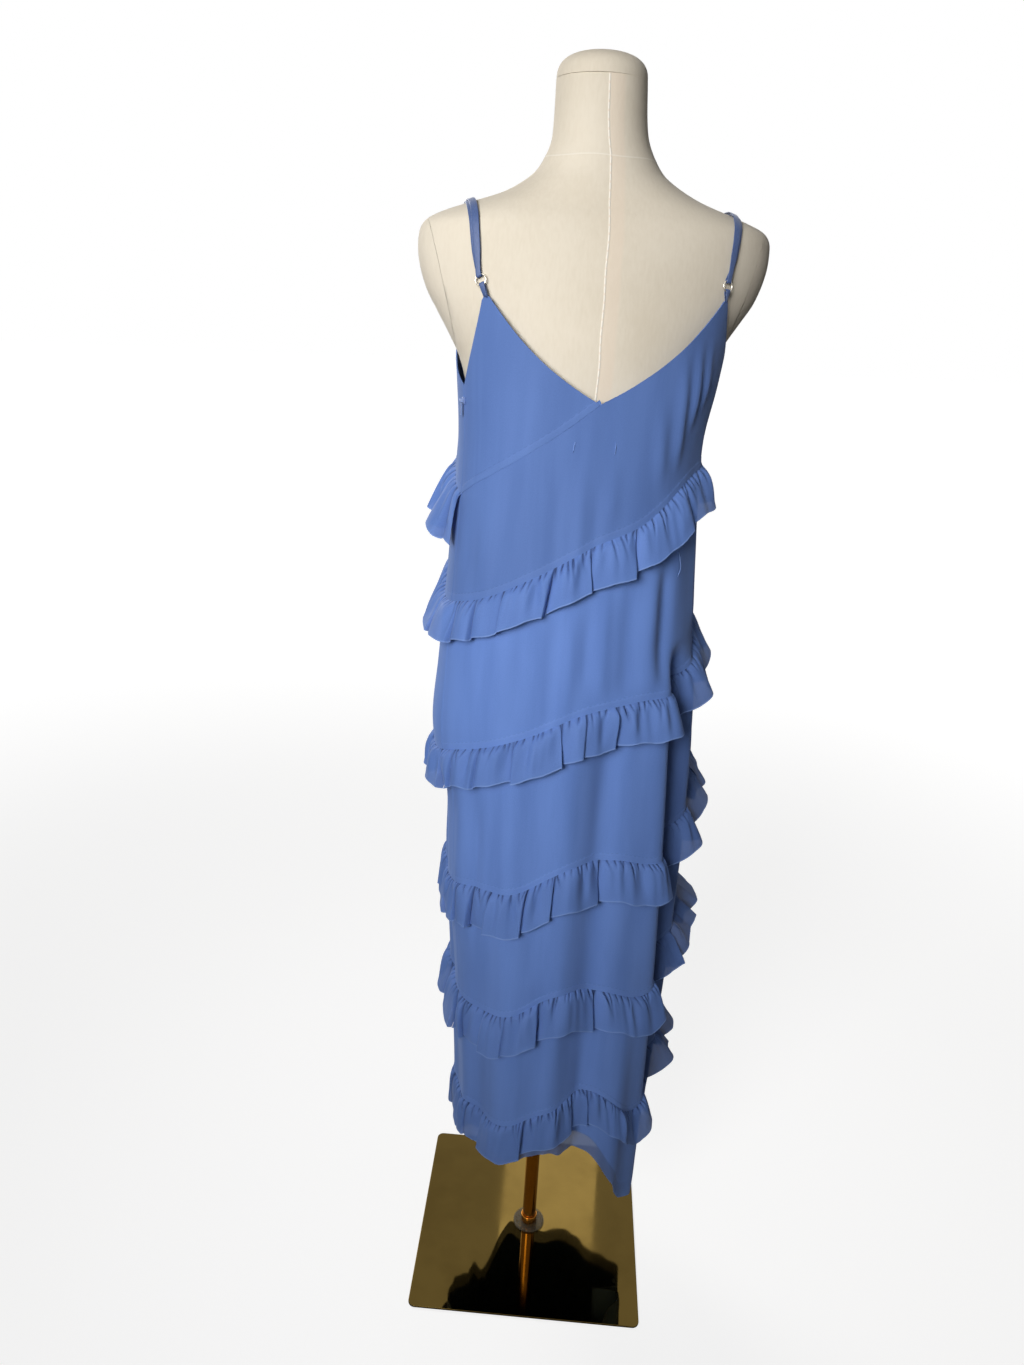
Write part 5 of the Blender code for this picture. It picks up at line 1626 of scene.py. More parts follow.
@dataclass
class Dress:
    """Cut panels, gathered frills and seams of the slip dress."""

    surface: DressSurface = field(default_factory=lambda: DressSurface(DRESS_SECTIONS))
    chiffon: ChiffonFinish = ChiffonFinish("chiffon")
    frill_chiffon: ChiffonFinish = ChiffonFinish(
        "chiffon_frill", colour=(0.138, 0.252, 0.620), deep=(0.112, 0.212, 0.540), opacity=0.84)

    def panels(self) -> list[Panel]:
        """All the cut panels, from the yokes down."""
        cloth = self.surface
        back = (SIDE_RIGHT - FULL_TURN, SIDE_LEFT)
        front = (SIDE_LEFT, SIDE_RIGHT)
        straps = ("strap_left_band", "strap_right_band", "tab_left_band", "tab_right_band")
        first = cloth.seam(0)

        def right_half(angle: Array) -> Array:
            """Where the back bodice's upper edge is free."""
            return angle <= 0.0

        def far_half(angle: Array) -> Array:
            """Where the front bodice's upper edge is free."""
            return angle >= 180.0

        def everywhere(angle: Array) -> Array:
            """Upper edge that is free all along."""
            return np.ones(angle.shape, dtype=bool)

        # The bodice and yoke panels take the painted bodice shade
        made = [
            Panel("back_bodice", cloth, *back, cloth.back_bodice_top, first, straps[2:],
                  Hold.DRAPED, free_top=right_half, has_bodice_shade=True),
            Panel("back_yoke", cloth, 0.4, SIDE_LEFT, cloth.back_top, cloth.back_diagonal,
                  straps[2:], Hold.DRAPED, free_top=everywhere, has_bodice_shade=True),
            Panel("front_bodice", cloth, *front, cloth.front_bodice_top, first, straps[:2],
                  Hold.DRAPED, free_top=far_half, tuck_start=True, tuck_stop=True, has_bodice_shade=True),
            Panel("front_yoke", cloth, SIDE_LEFT, 179.6, cloth.front_top, cloth.front_diagonal,
                  straps[:2], Hold.DRAPED, free_top=everywhere, tuck_start=True, has_bodice_shade=True),
        ]
        for number in range(TIERS):
            hem = number == TIERS - 1
            low = cloth.hem if hem else cloth.seam(number + 1)
            for side, ends, turned in (("back", back, False), ("front", front, True)):
                above = f"{side}_tier_{number}_cloth" if number else f"{side}_bodice_cloth"
                made.append(Panel(
                    f"{side}_tier_{number + 1}", cloth, *ends, cloth.seam(number), low, (above,),
                    Hold.HUNG, banded=not hem, tuck_start=turned, tuck_stop=turned, is_hem=hem))
        return made

    def frills(self) -> list[GatheredFrill]:
        """All the gathered frills, from the yoke's down."""
        cloth = self.surface
        made = [GatheredFrill(
            "frill_yoke", cloth, SIDE_LEFT, 180.0, cloth.front_diagonal, YOKE_FRILL_CUT,
            YOKE_VALLEYS, ("front_yoke_cloth",), 5, caught=(SIDE_LEFT, 180.0))]
        for number in range(TIERS):
            above = f"tier_{number}_cloth" if number else "bodice_cloth"
            for side, start, stop in (("back", SIDE_RIGHT - FULL_TURN, SIDE_LEFT),
                                      ("front", SIDE_LEFT, SIDE_RIGHT)):
                made.append(GatheredFrill(
                    f"frill_{side}_{number + 1}", cloth, start, stop, cloth.seam(number),
                    FRILL_CUTS[number], VALLEYS[number], (f"{side}_{above}",), 20 + number))
        return made

    def build(self) -> None:
        """Make every panel and frill."""
        chiffon = self.chiffon.build()
        gathered = self.frill_chiffon.build()
        for panel in self.panels():
            panel.build(chiffon)
        for frill in self.frills():
            frill.build(gathered)
        self.build_threads(chiffon)

    def build_threads(self, material: Material) -> None:
        """Make the thread loop at the right side and two loose stitches on the back."""
        lines = (
            ((-53.7, 1.105, 0.0006), (-53.2, 1.097, 0.0030), (-53.8, 1.086, 0.0034),
             (-53.5, 1.076, 0.0007)),
            ((13.5, 1.229, 0.0004), (13.9, 1.224, 0.0009), (14.3, 1.218, 0.0004)),
            ((-11.2, 1.229, 0.0004), (-11.0, 1.223, 0.0008), (-10.6, 1.217, 0.0004)),
        )
        for number, line in enumerate(lines):
            stations = []
            for angle, height, lift in line:
                centre = Vector(self.surface.on_dress(angle, height, lift))
                out = Vector((math.sin(math.radians(angle)), math.cos(math.radians(angle)), 0.0))
                stations.append(Station(centre, out, out.cross(Vector((0.0, 0.0, 1.0))), 0.0008))
            piece = Band(f"thread_{number + 1}", stations, 0.0006).build()
            self.mark_plain(piece)
            piece.data.materials.append(material)
            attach(piece, DRESS_BODY)
        LOG.info("threads: %d", len(lines))

    @staticmethod
    def mark_plain(piece: Object) -> None:
        """Give a piece the cloth's distances as all rolled thread, so all of it takes the painted
        hem highlight.
        """
        for name, value in {**PLAIN_MARKS, "to_hem": 0.0}.items():
            mark_points(piece.data, name, value)


# ------------------------------------------------------------------ straps


@dataclass
class Strap:
    """One shoulder strap: its band, its sewn tab, its ring and its slider."""

    name: str
    shoulder: Shoulder
    back_peak: float
    front_peak: float
    surface: DressSurface
    form: BodySurface
    width: float = 0.0080
    width_at_ring: float = 0.0060
    thick: float = 0.0010
    lift: float = 0.0011
    layer_gap: float = 0.0005
    stations: int = 16
    fan: float = 0.0036
    fan_turn: float = 18.0
    fan_spread: float = 34.0
    drift_power: float = 1.45
    ring_radius: float = 0.0060
    ring_wire: float = 0.0008
    ring_rise: float = 0.0095
    ring_dip: float = 0.0012
    ring_blend: float = 1.2
    shoulder_centre: float = 1.351
    slider_turn: float = -42.0
    slider_wall: float = 0.0008
    slider_spread: float = 16.0
    start_rise: float = 0.024
    lay_gap: float = 0.0003
    seam_gap: float = 0.0007
    halvings: int = 34

    def form_gap(self, point: Vector) -> float:
        """How far a point lies outside the dress form, measured level from the axis."""
        angle = math.degrees(math.atan2(point.x, point.y))
        return math.hypot(point.x, point.y) - float(self.form.reach(angle, point.z))

    def over_shoulder(self, turn: float) -> Vector:
        """Point on the form over the shoulder: turn is 0 on top, + to the back, in degrees."""
        wide = self.shoulder.reach - self.shoulder.drift * abs(turn) ** self.drift_power
        lean = math.radians(turn)
        near, far = 0.0, 0.25
        for _ in range(self.halvings):
            middle = (near + far) / 2.0
            probe = Vector((self.shoulder.side * wide, middle * math.sin(lean),
                            self.shoulder_centre + middle * math.cos(lean)))
            if self.form_gap(probe) > 0.0:
                far = middle
            else:
                near = middle
        return Vector((self.shoulder.side * wide, far * math.sin(lean),
                       self.shoulder_centre + far * math.cos(lean)))

    def form_normal(self, point: Vector) -> Vector:
        """Outward unit normal of the dress form near a point."""
        step = 0.002
        slopes = []
        for axis in range(3):
            nudge = Vector((0.0, 0.0, 0.0))
            nudge[axis] = step
            slopes.append(self.form_gap(point + nudge) - self.form_gap(point - nudge))
        return Vector(slopes).normalized()

    def turn_at(self, height: float, start: float, stop: float) -> float:
        """Turn at which the strap's line passes a height, between two turns."""
        for _ in range(self.halvings):
            middle = (start + stop) / 2.0
            if self.over_shoulder(middle).z > height:
                start = middle
            else:
                stop = middle
        return stop

    def peak(self, angle: float, rise: float, lift: float) -> Vector:
        """Point of the plain cloth at a strap point."""
        height = float(self.surface.peak_height(angle)) + rise
        distance = float(self.surface.reach(angle, height)) + lift
        return Vector(self.surface.place(angle, height, distance))

    def sewn_end(self, angle: float, across: Vector, lift: float, facing: float) -> Station:
        """Where a band is sewn to a strap point: its end lies level, just above the edge."""
        turn = math.radians(angle)
        out = Vector((math.sin(turn), math.cos(turn), 0.0))
        level = Vector((out.y, -out.x, 0.0))
        if level.dot(across) < 0.0:
            level = -level
        top = self.peak(angle, -0.0015, lift - CLOTH / 2.0)
        return Station(top, out * facing, level, self.width_at_ring)

    def hairpin(self, end: Vector, along: Vector, normal: Vector, across: Vector,
                layer: float) -> list[Station]:
        """Stations of a band that turns round a ring's wire and comes back over itself."""
        made = []
        for step in range(9):
            bend = math.pi * step / 8.0
            out = -normal * math.cos(bend) + along * math.sin(bend)
            made.append(Station(end + out * layer, out, across, self.width_at_ring))
        return made

    def build(self, satin: Material, metal: Material) -> None:
        """Make the strap's four pieces.

        Args:
            satin: Finish of the bands.
            metal: Finish of the ring and slider.
        """
        hold = self.ring_wire + self.lay_gap + self.thick / 2.0
        inner_lift = self.lift + self.thick / 2.0
        outer_lift = inner_lift + self.thick + self.layer_gap
        peak_back = self.peak(self.back_peak, -self.seam_gap / 2.0, -CLOTH / 2.0)
        ring_low = peak_back.z + self.ring_rise
        bar_turn = self.turn_at(ring_low + 2.0 * self.ring_radius, 0.0, 88.0)
        front_height = float(self.surface.peak_height(self.front_peak)) + self.start_rise
        start_turn = self.turn_at(front_height, 0.0, -88.0)
        step = (bar_turn - start_turn) / self.stations
        turns = [start_turn + step * i for i in range(self.stations + 1)]
        line = [self.over_shoulder(turn) for turn in turns]
        normals = [self.form_normal(point) for point in line]

        def station(place: int, lift: float, fan: float) -> Station:
            """Station over the form; fan slides the layer sideways on top of the shoulder."""
            ahead = line[min(place + 1, len(line) - 1)] - line[max(place - 1, 0)]
            across = ahead.normalized().cross(normals[place]).normalized()
            side = math.copysign(1.0, across.x * self.shoulder.side)
            width = self.width if place < len(line) - 2 else self.width_at_ring
            away = (turns[place] - self.slider_turn) / self.slider_spread
            raised = (self.slider_wall + self.lay_gap) * math.exp(-away * away)
            spread = (turns[place] - self.fan_turn) / self.fan_spread
            slide = side * fan * math.exp(-spread * spread)
            centre = line[place] + normals[place] * (lift + raised) + across * slide
            return Station(centre, normals[place], across, width)

        last = station(len(line) - 1, 0.0, 0.0)
        bar = last.centre + last.normal * (inner_lift + hold)
        down = (peak_back - bar).normalized()
        normal = last.across.cross(down).normalized()
        if normal.dot(last.normal) < 0.0:
            normal = -normal
        across = down.cross(normal).normalized()
        if across.dot(last.across) < 0.0:
            across = -across

        stops = [self.sewn_end(self.front_peak, last.across, 0.0, -1.0)]
        for place in range(len(line) - 1):
            inner = station(place, inner_lift, self.fan)
            stops.append(inner._replace(normal=-inner.normal))
        stops.append(Station(bar - normal * hold, -normal, across, self.width_at_ring))
        stops += self.hairpin(bar + down * self.ring_dip, down, normal, across, hold)
        stops.append(Station(bar + normal * hold, normal, across, self.width_at_ring))
        slider_place = max(round((self.slider_turn - start_turn) / step), 1)
        for place in range(len(line) - 2, slider_place - 2, -1):
            near_ring = math.exp(-(len(line) - 1 - place) / self.ring_blend)
            lift = outer_lift + (hold + inner_lift + hold - outer_lift) * near_ring
            stops.append(station(place, lift, 0.0))
        band = Band(f"strap_{self.name}_band", stops, self.thick).build()
        dressed(band, satin, f"strap_{self.name}")

        low_bar = bar + down * 2.0 * self.ring_radius
        layer = (self.thick + self.layer_gap) / 2.0
        stops = [self.sewn_end(self.back_peak, across, -layer, -1.0)]
        stops += self.hairpin(low_bar - down * self.ring_dip, -down, normal, across, hold)
        stops.append(self.sewn_end(self.back_peak, across, layer, 1.0))
        tab = Band(f"tab_{self.name}_band", stops, self.thick).build()
        dressed(tab, satin, f"tab_{self.name}")

        ring = Workshop.refined(f"ring_{self.name}", 0.0, smooth=2)
        dressed(ring, metal, f"ring_{self.name}")
        slider = Workshop.refined(f"slider_{self.name}", 0.00030, 3)
        dressed(slider, metal, f"slider_{self.name}")
        length = sum((b.centre - a.centre).length for a, b in zip(stops, stops[1:]))
        LOG.info("strap_%s: band, tab of %.0f mm, ring and slider", self.name, length * 1e3)


# ------------------------------------------------------------------ zip


@dataclass
class SideZip:
    """Concealed zip in the left side seam: tape and coil inside, slider and pull outside."""

    surface: DressSurface
    top: float = 1.274
    bottom: float = 1.037
    half_turn: float = 2.4
    half_width: float = 0.0063
    end_gap: float = 0.002
    wall: float = 0.0007
    behind: float = 0.0017
    tooth_pitch: float = 0.0013
    tooth: Triple = (0.0034, 0.0007, 0.0011)

    def build(self, tape: Material, pull: Material) -> None:
        """Make the zip's pieces.

        Args:
            tape: Finish of the tape and its coil.
            pull: Finish of the slider and its pull tab.
        """
        height = np.linspace(self.top, self.bottom, 80)[:, None]
        angle = SIDE_LEFT + np.linspace(-self.half_turn, self.half_turn, 13)[None, :]
        height, angle = np.broadcast_arrays(height, angle)
        grid = self.surface.on_dress(angle, height, -self.behind)
        flat = np.stack(((angle - SIDE_LEFT) / self.half_turn * self.half_width, height), axis=-1)
        sheet = ClothSheet("side_zip_tape", grid, flat, np.full(height.shape, self.wall), {})
        piece = dressed(sheet.build(), tape, "side_zip")
        coil = self.build_coil(tape)
        width, length, _ = sheet.measure()
        body = Workshop.refined("zip_slider", 0.00022, 2)
        dressed(body, pull, "zip_slider")
        tab = Workshop.refined("zip_pull", 0.00016, 2)
        dressed(tab, pull, "zip_pull", PULL_BODY)
        LOG.info("side zip: tape %.0f x %.0f mm, %d teeth", width * 1e3, length * 1e3,
                 self.teeth())

    def teeth(self) -> int:
        """How many turns the coil has."""
        return int((self.top - self.bottom - 2.0 * self.end_gap) / self.tooth_pitch)

    def build_coil(self, tape: Material) -> Object:
        """Make the coil on the tape's inner side, one small block for each turn."""
        wide, high, deep = self.tooth
        turn = math.radians(SIDE_LEFT)
        out = np.array((math.sin(turn), math.cos(turn), 0.0))
        side = np.array((math.cos(turn), -math.sin(turn), 0.0))
        up = np.array((0.0, 0.0, 1.0))
        corners = [(x, y, z) for z in (-0.5, 0.5) for y in (-0.5, 0.5) for x in (-0.5, 0.5)]
        sides = ((0, 1, 3, 2), (4, 6, 7, 5), (0, 4, 5, 1), (2, 3, 7, 6), (0, 2, 6, 4),
                 (1, 5, 7, 3))
        points, faces = [], []
        for number in range(self.teeth()):
            height = self.top - self.end_gap - self.tooth_pitch * number
            depth = self.behind + self.wall + deep / 2.0
            centre = self.surface.on_dress(SIDE_LEFT, height, -depth)
            first = len(points)
            for x, y, z in corners:
                points.append(tuple(centre + side * x * wide + out * y * deep + up * z * high))
            faces += [tuple(first + corner for corner in one) for one in sides]
        mesh = bpy.data.meshes.new("side_zip_coil")
        mesh.from_pydata(points, [], faces)
        outward_faces(mesh)
        mesh.uv_layers.new(name="cloth")
        made = added("side_zip_coil", mesh)
        made.data.materials.append(tape)
        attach(made, DRESS_BODY)
        return made


# ------------------------------------------------------------------ dress form


@dataclass
class DressForm:
    """Limbless jersey-covered form: torso with its stitched ridge, arm caps and neck cap."""

    form: BodySurface
    columns: int = 108
    near_ridge: int = 26
    near_turn: float = 7.0
    rows_between: int = 6
    row_step: float = 0.007
    ridge_height: float = 0.0004
    ridge_width: float = 0.0008
    collar: float = 1.518
    arm_top: Pair = (0.186, 1.451)
    arm_low: Pair = (0.152, 1.319)
    arm_gap: float = 0.0003
    cap_radius: float = 0.0486
    cap_shift: float = 0.0037
    cap_top: float = 1.621
    cap_square: float = 0.75
    cap_rows: int = 20
    cap_columns: int = 96

    RIDGE = ((0.82, 1.0), (1.272, 1.6), (1.326, 1.6), (1.374, 0.8), (1.423, 0.0), (1.474, -1.2),
             (1.518, -1.8), (1.558, 3.4), (1.594, 5.0))

    def ridge_angle(self, height: Array) -> Array:
        """Angle of the stitched ridge down the back, at heights, in degrees."""
        heights, angles = zip(*self.RIDGE)
        waver = 0.25 * np.sin(height * 95.0) + 0.2 * np.sin(height * 41.0 + 1.0)
        return np.interp(height, heights, angles) + waver

    def grid(self) -> tuple[Array, Array, Array]:
        """Points of the whole form, and each one's distance from the ridge and the collar seam."""
        rows = [row.height for row in self.form.sections]
        heights = []
        for low, high in zip(rows, rows[1:]):
            count = max(self.rows_between, int((high - low) / self.row_step))
            heights += [low + (high - low) * i / count for i in range(count)]
        height = np.array(heights + [rows[-1]])[:, None]
        near = np.linspace(-self.near_turn, self.near_turn, 2 * self.near_ridge + 1)
        far = np.linspace(self.near_turn, FULL_TURN - self.near_turn, self.columns + 1)[1:-1]
        base = np.concatenate((near, far))[None, :]
        base, height = np.broadcast_arrays(base, height)
        angle = base + self.ridge_angle(height) * bell(turn_from(base, 0.0), 40.0)
        distance = self.form.reach(angle, height)
        to_ridge = -np.radians(turn_from(base, 0.0)) * distance
        raised = self.ridge_height * bell(to_ridge, self.ridge_width)
        raised = raised * (1.0 + 0.25 * np.sin(height * 740.0))
        to_collar = height - self.collar - 0.0006 * np.sin(np.radians(angle) * 5.0)
        raised = raised + 0.0004 * bell(to_collar, 0.0015)
        points = self.form.place(angle, height, distance + raised)
        return points, to_ridge, to_collar

    def blank(self, name: str) -> Object:
        """Whole closed form, before its arm caps are parted from it."""
        points, to_ridge, to_collar = self.grid()
        rows, columns, _ = points.shape
        index = np.arange(rows * columns).reshape(rows, columns)
        right = np.roll(index, -1, axis=1)
        quads = np.stack((index[:-1], index[1:], right[1:], right[:-1]), axis=-1).reshape(-1, 4)
        faces = quads.tolist() + [index[0].tolist(), index[-1][::-1].tolist()]
        mesh = bpy.data.meshes.new(name)
        mesh.from_pydata(points.reshape(-1, 3).tolist(), [], faces)
        mark_points(mesh, "to_ridge", to_ridge)
        mark_points(mesh, "to_collar", to_collar)
        outward_faces(mesh)
        return added(name, mesh)

    def cut(self, item: Object, side: float, inset: float, keep_outer: bool) -> None:
        """Part a form at an arm's slanting plane, and close the cut.

        Args:
            item: The form.
            side: +1 at the left arm, -1 at the right arm.
            inset: How far out the plane is moved.
            keep_outer: Whether the arm's part stays, and not the body's.
        """
        top = Vector((side * self.arm_top[0], 0.0, self.arm_top[1]))
        low = Vector((side * self.arm_low[0], 0.0, self.arm_low[1]))
        up = (top - low).normalized()
        out = Vector((side * up.z, 0.0, -side * up.x))
        Workshop.hold(item)
        bpy.ops.object.mode_set(mode="EDIT")
        bpy.ops.mesh.select_all(action="SELECT")
        bpy.ops.mesh.bisect(
            plane_co=low + out * inset, plane_no=out, use_fill=True,
            clear_inner=keep_outer, clear_outer=not keep_outer)
        bpy.ops.object.mode_set(mode="OBJECT")

    def build(self, jersey: Material) -> None:
        """Make the torso, the two arm caps and the neck cap.

        Args:
            jersey: Their finish.
        """
        torso = self.blank("form_torso_jersey")
        self.cut(torso, 1.0, 0.0, False)
        self.cut(torso, -1.0, 0.0, False)
        dressed(Workshop.smoothed(torso, 45.0), jersey, "form_torso")
        for side, name in ((1.0, "left"), (-1.0, "right")):
            cap = self.blank(f"form_arm_cap_{name}_jersey")
            self.cut(cap, side, self.arm_gap, True)
            dressed(Workshop.smoothed(cap, 45.0), jersey, f"form_arm_cap_{name}")

        base = self.form.sections[-1].height + self.arm_gap
        corners = [(0.0, self.cap_top)]
        for step in range(1, self.cap_rows + 1):
            lean = math.pi / 2.0 * step / self.cap_rows
            rise = (self.cap_top - base) * max(math.cos(lean), 0.0) ** self.cap_square
            corners.append((self.cap_radius * math.sin(lean) ** self.cap_square, base + rise))
        corners += [(self.cap_radius - 0.0008, base - 0.0001), (0.0, base - 0.0001)]
        neck = Workshop.turned("form_neck_cap_jersey", corners, self.cap_columns, False)
        neck.data.transform(Matrix.Translation((self.cap_shift, 0.0, 0.0)))
        for label in ("to_ridge", "to_collar"):
            mark_points(neck.data, label, FAR)
        dressed(neck, jersey, "form_neck_cap")
        LOG.info("dress form: torso, two arm caps and neck cap")


# ------------------------------------------------------------------ stand


@dataclass
class DisplayStand:
    """Square mirror base with its washer, sleeve and gold pole."""

    pole_radius: float = 0.0103
    pole_top: float = 0.876
    gap: float = 0.0003
    washer_radius: float = 0.024
    washer_thick: float = 0.003
    sleeve_radius: float = 0.0122
    sleeve_height: float = 0.012
    base_side: float = 0.334
    base_thick: float = 0.003
    base_corner: float = 0.010
    base_turn: float = -9.8
    base_round: float = 0.0005
    tube_round: float = 0.0006
    washer_round: float = 0.0008
    steps: int = 64

    def build(self, tube: Material, mirror: Material,
              plastic: Material) -> None:
        """Make the stand's four pieces.

        Args:
            tube: Finish of the pole and its sleeve.
            mirror: Finish of the base.
            plastic: Finish of the washer.
        """
        foot = self.base_thick + self.gap
        corners = ((0.0, self.pole_top), (self.pole_radius, self.pole_top),
                   (self.pole_radius, foot), (0.0, foot))
        profile = Workshop.rounded(corners, self.tube_round)
        pole = Workshop.turned("stand_pole_tube", profile, self.steps, False)
        dressed(pole, tube, "stand_pole")

        hole = self.pole_radius + self.gap
        high = foot + self.washer_thick
        ring = ((hole, foot), (hole, high), (self.washer_radius, high), (self.washer_radius, foot))
        washer = self.ring("stand_washer_disc", ring, self.washer_round)
        dressed(washer, plastic, "stand_washer")

        low = high + self.gap
        high = low + self.sleeve_height
        ring = ((hole, low), (hole, high), (self.sleeve_radius, high), (self.sleeve_radius, low))
        sleeve = self.ring("stand_sleeve_collar", ring, self.tube_round)
        dressed(sleeve, tube, "stand_sleeve")
        dressed(self.base("stand_base_plate"), mirror, "stand_base")
        LOG.info("stand: pole, washer, sleeve and base plate")

    def ring(self, name: str, corners: Sequence[Pair], radius: float) -> Object:
        """Turned ring whose corners are all rounded."""
        middle = tuple((a + b) / 2.0 for a, b in zip(corners[-1], corners[0]))
        profile = Workshop.rounded((middle, *corners, middle), radius)[:-1]
        return Workshop.turned(name, profile, self.steps, True)

    @staticmethod
    def choose_none(kind: str) -> None:
        """Leave nothing of the active mesh selected, ready to choose edges or faces."""
        bpy.ops.object.mode_set(mode="EDIT")
        bpy.ops.mesh.select_mode(type=kind)
        bpy.ops.mesh.select_all(action="DESELECT")
        bpy.ops.object.mode_set(mode="OBJECT")

    def base(self, name: str) -> Object:
        """Flat square plate with round corners and softened edges."""
        Workshop.clear()
        bpy.ops.mesh.primitive_cube_add(size=1.0, location=(0.0, 0.0, self.base_thick / 2.0))
        made = bpy.context.object
        made.name = name
        made.data.name = name
        made.scale = (self.base_side, self.base_side, self.base_thick)
        made.rotation_euler = (0.0, 0.0, math.radians(self.base_turn))
        bpy.ops.object.transform_apply(location=True, rotation=True, scale=True)
        self.choose_none("EDGE")
        for edge in made.data.edges:
            low, high = (made.data.vertices[i].co.z for i in edge.vertices)
            edge.select = abs(high - low) > self.base_thick / 2.0
        bpy.ops.object.mode_set(mode="EDIT")
        bpy.ops.mesh.bevel(offset=self.base_corner, segments=8, affect="EDGES")
        bpy.ops.object.mode_set(mode="OBJECT")
        Workshop.round_edges(made, self.base_round, 3, 40.0)
        self.choose_none("FACE")
        for face in made.data.polygons:
            face.select = abs(face.normal.z) > 0.999
        bpy.ops.object.mode_set(mode="EDIT")
        bpy.ops.mesh.inset(thickness=0.0004, depth=0.0)
        bpy.ops.object.mode_set(mode="OBJECT")
        return Workshop.smoothed(made, 30.0)


# ------------------------------------------------------------------ studio


class Lamp(NamedTuple):
    """Oblong soft lamp: its place, aim, width and height, watts, spread in degrees and colour."""

    name: str
    place: Triple
    aim: Triple
    sides: Pair
    power: float
    spread: float
    colour: Triple


LAMPS = (
    Lamp("key", (1.22, 1.95, 1.85), (0.0, 0.0, 1.20), (1.1, 1.1), 9.2, 63.0, (1.0, 0.99, 0.98)),
    Lamp("fill", (-0.55, 2.7, 1.05), (0.0, 0.0, 0.80), (1.3, 1.0), 0.25, 75.0, (1.0, 0.98, 0.95)),
    Lamp("front", (1.15, -2.25, 1.95), (0.0, 0.0, 1.0), (1.3, 1.3), 7.0, 75.0, (1.0, 0.98, 0.95)),
    Lamp("slit", (-0.49, -2.3, 2.45), (0.0, 0.0, 0.2), (0.42, 1.5), 2.6, 160.0,
         (1.0, 0.98, 0.92)),
)


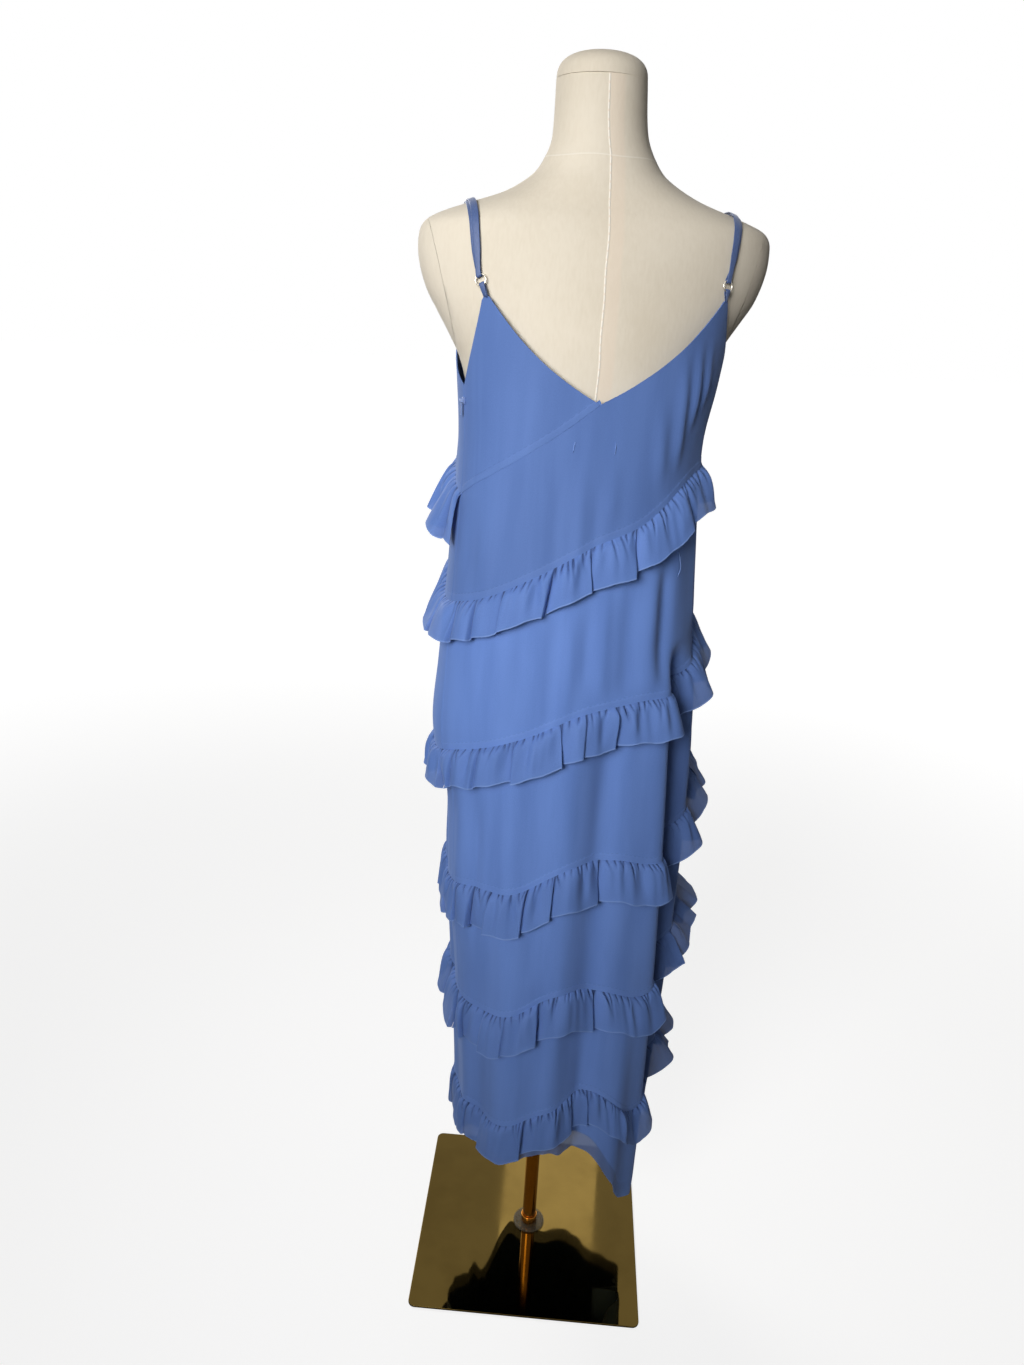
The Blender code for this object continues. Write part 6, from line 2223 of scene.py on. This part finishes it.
@dataclass
class Studio:
    """Plain pale floor, white surroundings, soft lamps and the camera."""

    floor_side: float = 60.0
    floor_tone: float = 0.34
    floor_glow: Pair = (0.79, 0.975)
    glow_reach: Pair = (0.9, 3.2)
    surround: float = 0.085
    camera_place: Triple = (0.2167, 1.2290, 1.3573)
    pitch: float = 19.769
    roll: float = 2.801
    yaw: float = -6.869
    lens: float = 27.03

    def build(self) -> None:
        """Make the floor, the world, the lamps and the camera."""
        self.build_floor()
        self.build_world()
        for lamp in LAMPS:
            self.hang(lamp)
        self.build_camera()

    @staticmethod
    def hang(lamp: Lamp) -> None:
        """Add one lamp, turned to face its aim."""
        data = bpy.data.lights.new(lamp.name, "AREA")
        data.shape = "RECTANGLE"
        data.size, data.size_y = lamp.sides
        data.energy = lamp.power
        data.spread = math.radians(lamp.spread)
        data.color = lamp.colour
        made = added(lamp.name, data)
        made.location = lamp.place
        ahead = Vector(lamp.aim) - Vector(lamp.place)
        made.rotation_euler = ahead.to_track_quat("-Z", "Y").to_euler()

    def build_floor(self) -> None:
        """Make the floor, which shows white to the camera and keeps soft shadows."""
        Workshop.clear()
        bpy.ops.mesh.primitive_plane_add(size=self.floor_side, location=(0.0, 0.0, 0.0))
        floor = bpy.context.object
        floor.name = "floor"
        bench = ShaderBench("pale_floor")
        tone = bench.noise(bench.here(), 3.0, 2.0)
        colour = bench.mix(tone, (self.floor_tone,) * 3, (self.floor_tone * 0.985,) * 3)
        path = bench.node("LightPath")
        away = bench.node("VectorMath", (0, bench.here()), operation="LENGTH")
        glow = bench.between(bench.step(away.outputs["Value"], *self.glow_reach), *self.floor_glow)
        shown = bench.times(path.outputs["Is Camera Ray"], glow)
        floor.data.materials.append(bench.finish(
            Base_Color=colour, Roughness=0.9, Specular_IOR_Level=0.1,
            Emission_Color=(1.0, 1.0, 1.0), Emission_Strength=shown))

    def build_world(self) -> None:
        """White for the eye and for reflections, and a plain soft level for light."""
        world = bpy.data.worlds.new("studio")
        bpy.context.scene.world = world
        world.use_nodes = True
        tree = world.node_tree
        light = tree.nodes["Background"]
        light.inputs["Color"].default_value = (1.0, 0.965, 0.925, 1.0)
        light.inputs["Strength"].default_value = self.surround
        shown = tree.nodes.new("ShaderNodeBackground")
        shown.inputs["Color"].default_value = (1.0, 1.0, 1.0, 1.0)
        path = tree.nodes.new("ShaderNodeLightPath")
        most = path.outputs["Is Camera Ray"]
        for kind in ("Is Glossy Ray", "Is Transmission Ray"):
            either = tree.nodes.new("ShaderNodeMath")
            either.operation = "MAXIMUM"
            tree.links.new(most, either.inputs[0])
            tree.links.new(path.outputs[kind], either.inputs[1])
            most = either.outputs[0]
        mix = tree.nodes.new("ShaderNodeMixShader")
        tree.links.new(most, mix.inputs[0])
        tree.links.new(light.outputs[0], mix.inputs[1])
        tree.links.new(shown.outputs[0], mix.inputs[2])
        tree.links.new(mix.outputs[0], tree.nodes["World Output"].inputs["Surface"])

    def build_camera(self) -> None:
        """Make the camera behind the dress, a little above its waist and looking down."""
        pitch, roll, yaw = (math.radians(turn) for turn in (self.pitch, self.roll, self.yaw))
        ahead = Vector((math.sin(yaw) * math.cos(pitch), -math.cos(yaw) * math.cos(pitch),
                        -math.sin(pitch)))
        level = Vector((-math.cos(yaw), -math.sin(yaw), 0.0))
        over = level.cross(ahead)
        right = level * math.cos(roll) + over * math.sin(roll)
        up = over * math.cos(roll) - level * math.sin(roll)
        turn = Matrix((right, up, -ahead)).transposed()
        data = bpy.data.cameras.new("camera")
        data.lens = self.lens
        data.sensor_width = 36.0
        data.clip_start = 0.05
        data.clip_end = 200.0
        made = added("camera", data)
        made.matrix_world = Matrix.Translation(self.camera_place) @ turn.to_4x4()
        bpy.context.scene.camera = made
        bpy.context.scene.view_settings.view_transform = "Standard"


def main() -> None:
    """Build the dress, its straps and zip, the form and the stand, and set the studio."""
    logging.basicConfig(level=logging.INFO, format="%(message)s")
    Studio().build()
    metal = MetalFinish("small_metal", (0.780, 0.740, 0.640), (0.600, 0.560, 0.470), 0.18,
                        0.32).build()
    tube = MetalFinish("gold_tube", (0.560, 0.270, 0.050), (0.430, 0.190, 0.030), 0.14, 0.24,
                       marks=40.0, grain=(900.0, 900.0, 40.0), relief=0.03).build()
    mirror = MetalFinish("gold_mirror", (0.105, 0.070, 0.0185), (0.088, 0.058, 0.015), 0.030,
                         0.075, marks=9.0, grain=(26.0, 26.0, 26.0), relief=0.008).build()
    dress = Dress()
    dress.build()
    form = dress.surface.form
    satin = SatinFinish().build()
    Strap("left", Shoulder(1.0, 0.140, 0.000027), BACK_PEAK_LEFT, FRONT_PEAK_LEFT,
          dress.surface, form).build(satin, metal)
    Strap("right", Shoulder(-1.0, 0.150, 0.000041), BACK_PEAK_RIGHT, FRONT_PEAK_RIGHT,
          dress.surface, form).build(satin, metal)
    SideZip(dress.surface).build(TapeFinish().build(), PullFinish().build())
    DressForm(form).build(JerseyFinish().build())
    DisplayStand().build(tube, mirror, WasherFinish().build())


if __name__ == "__main__":
    main()
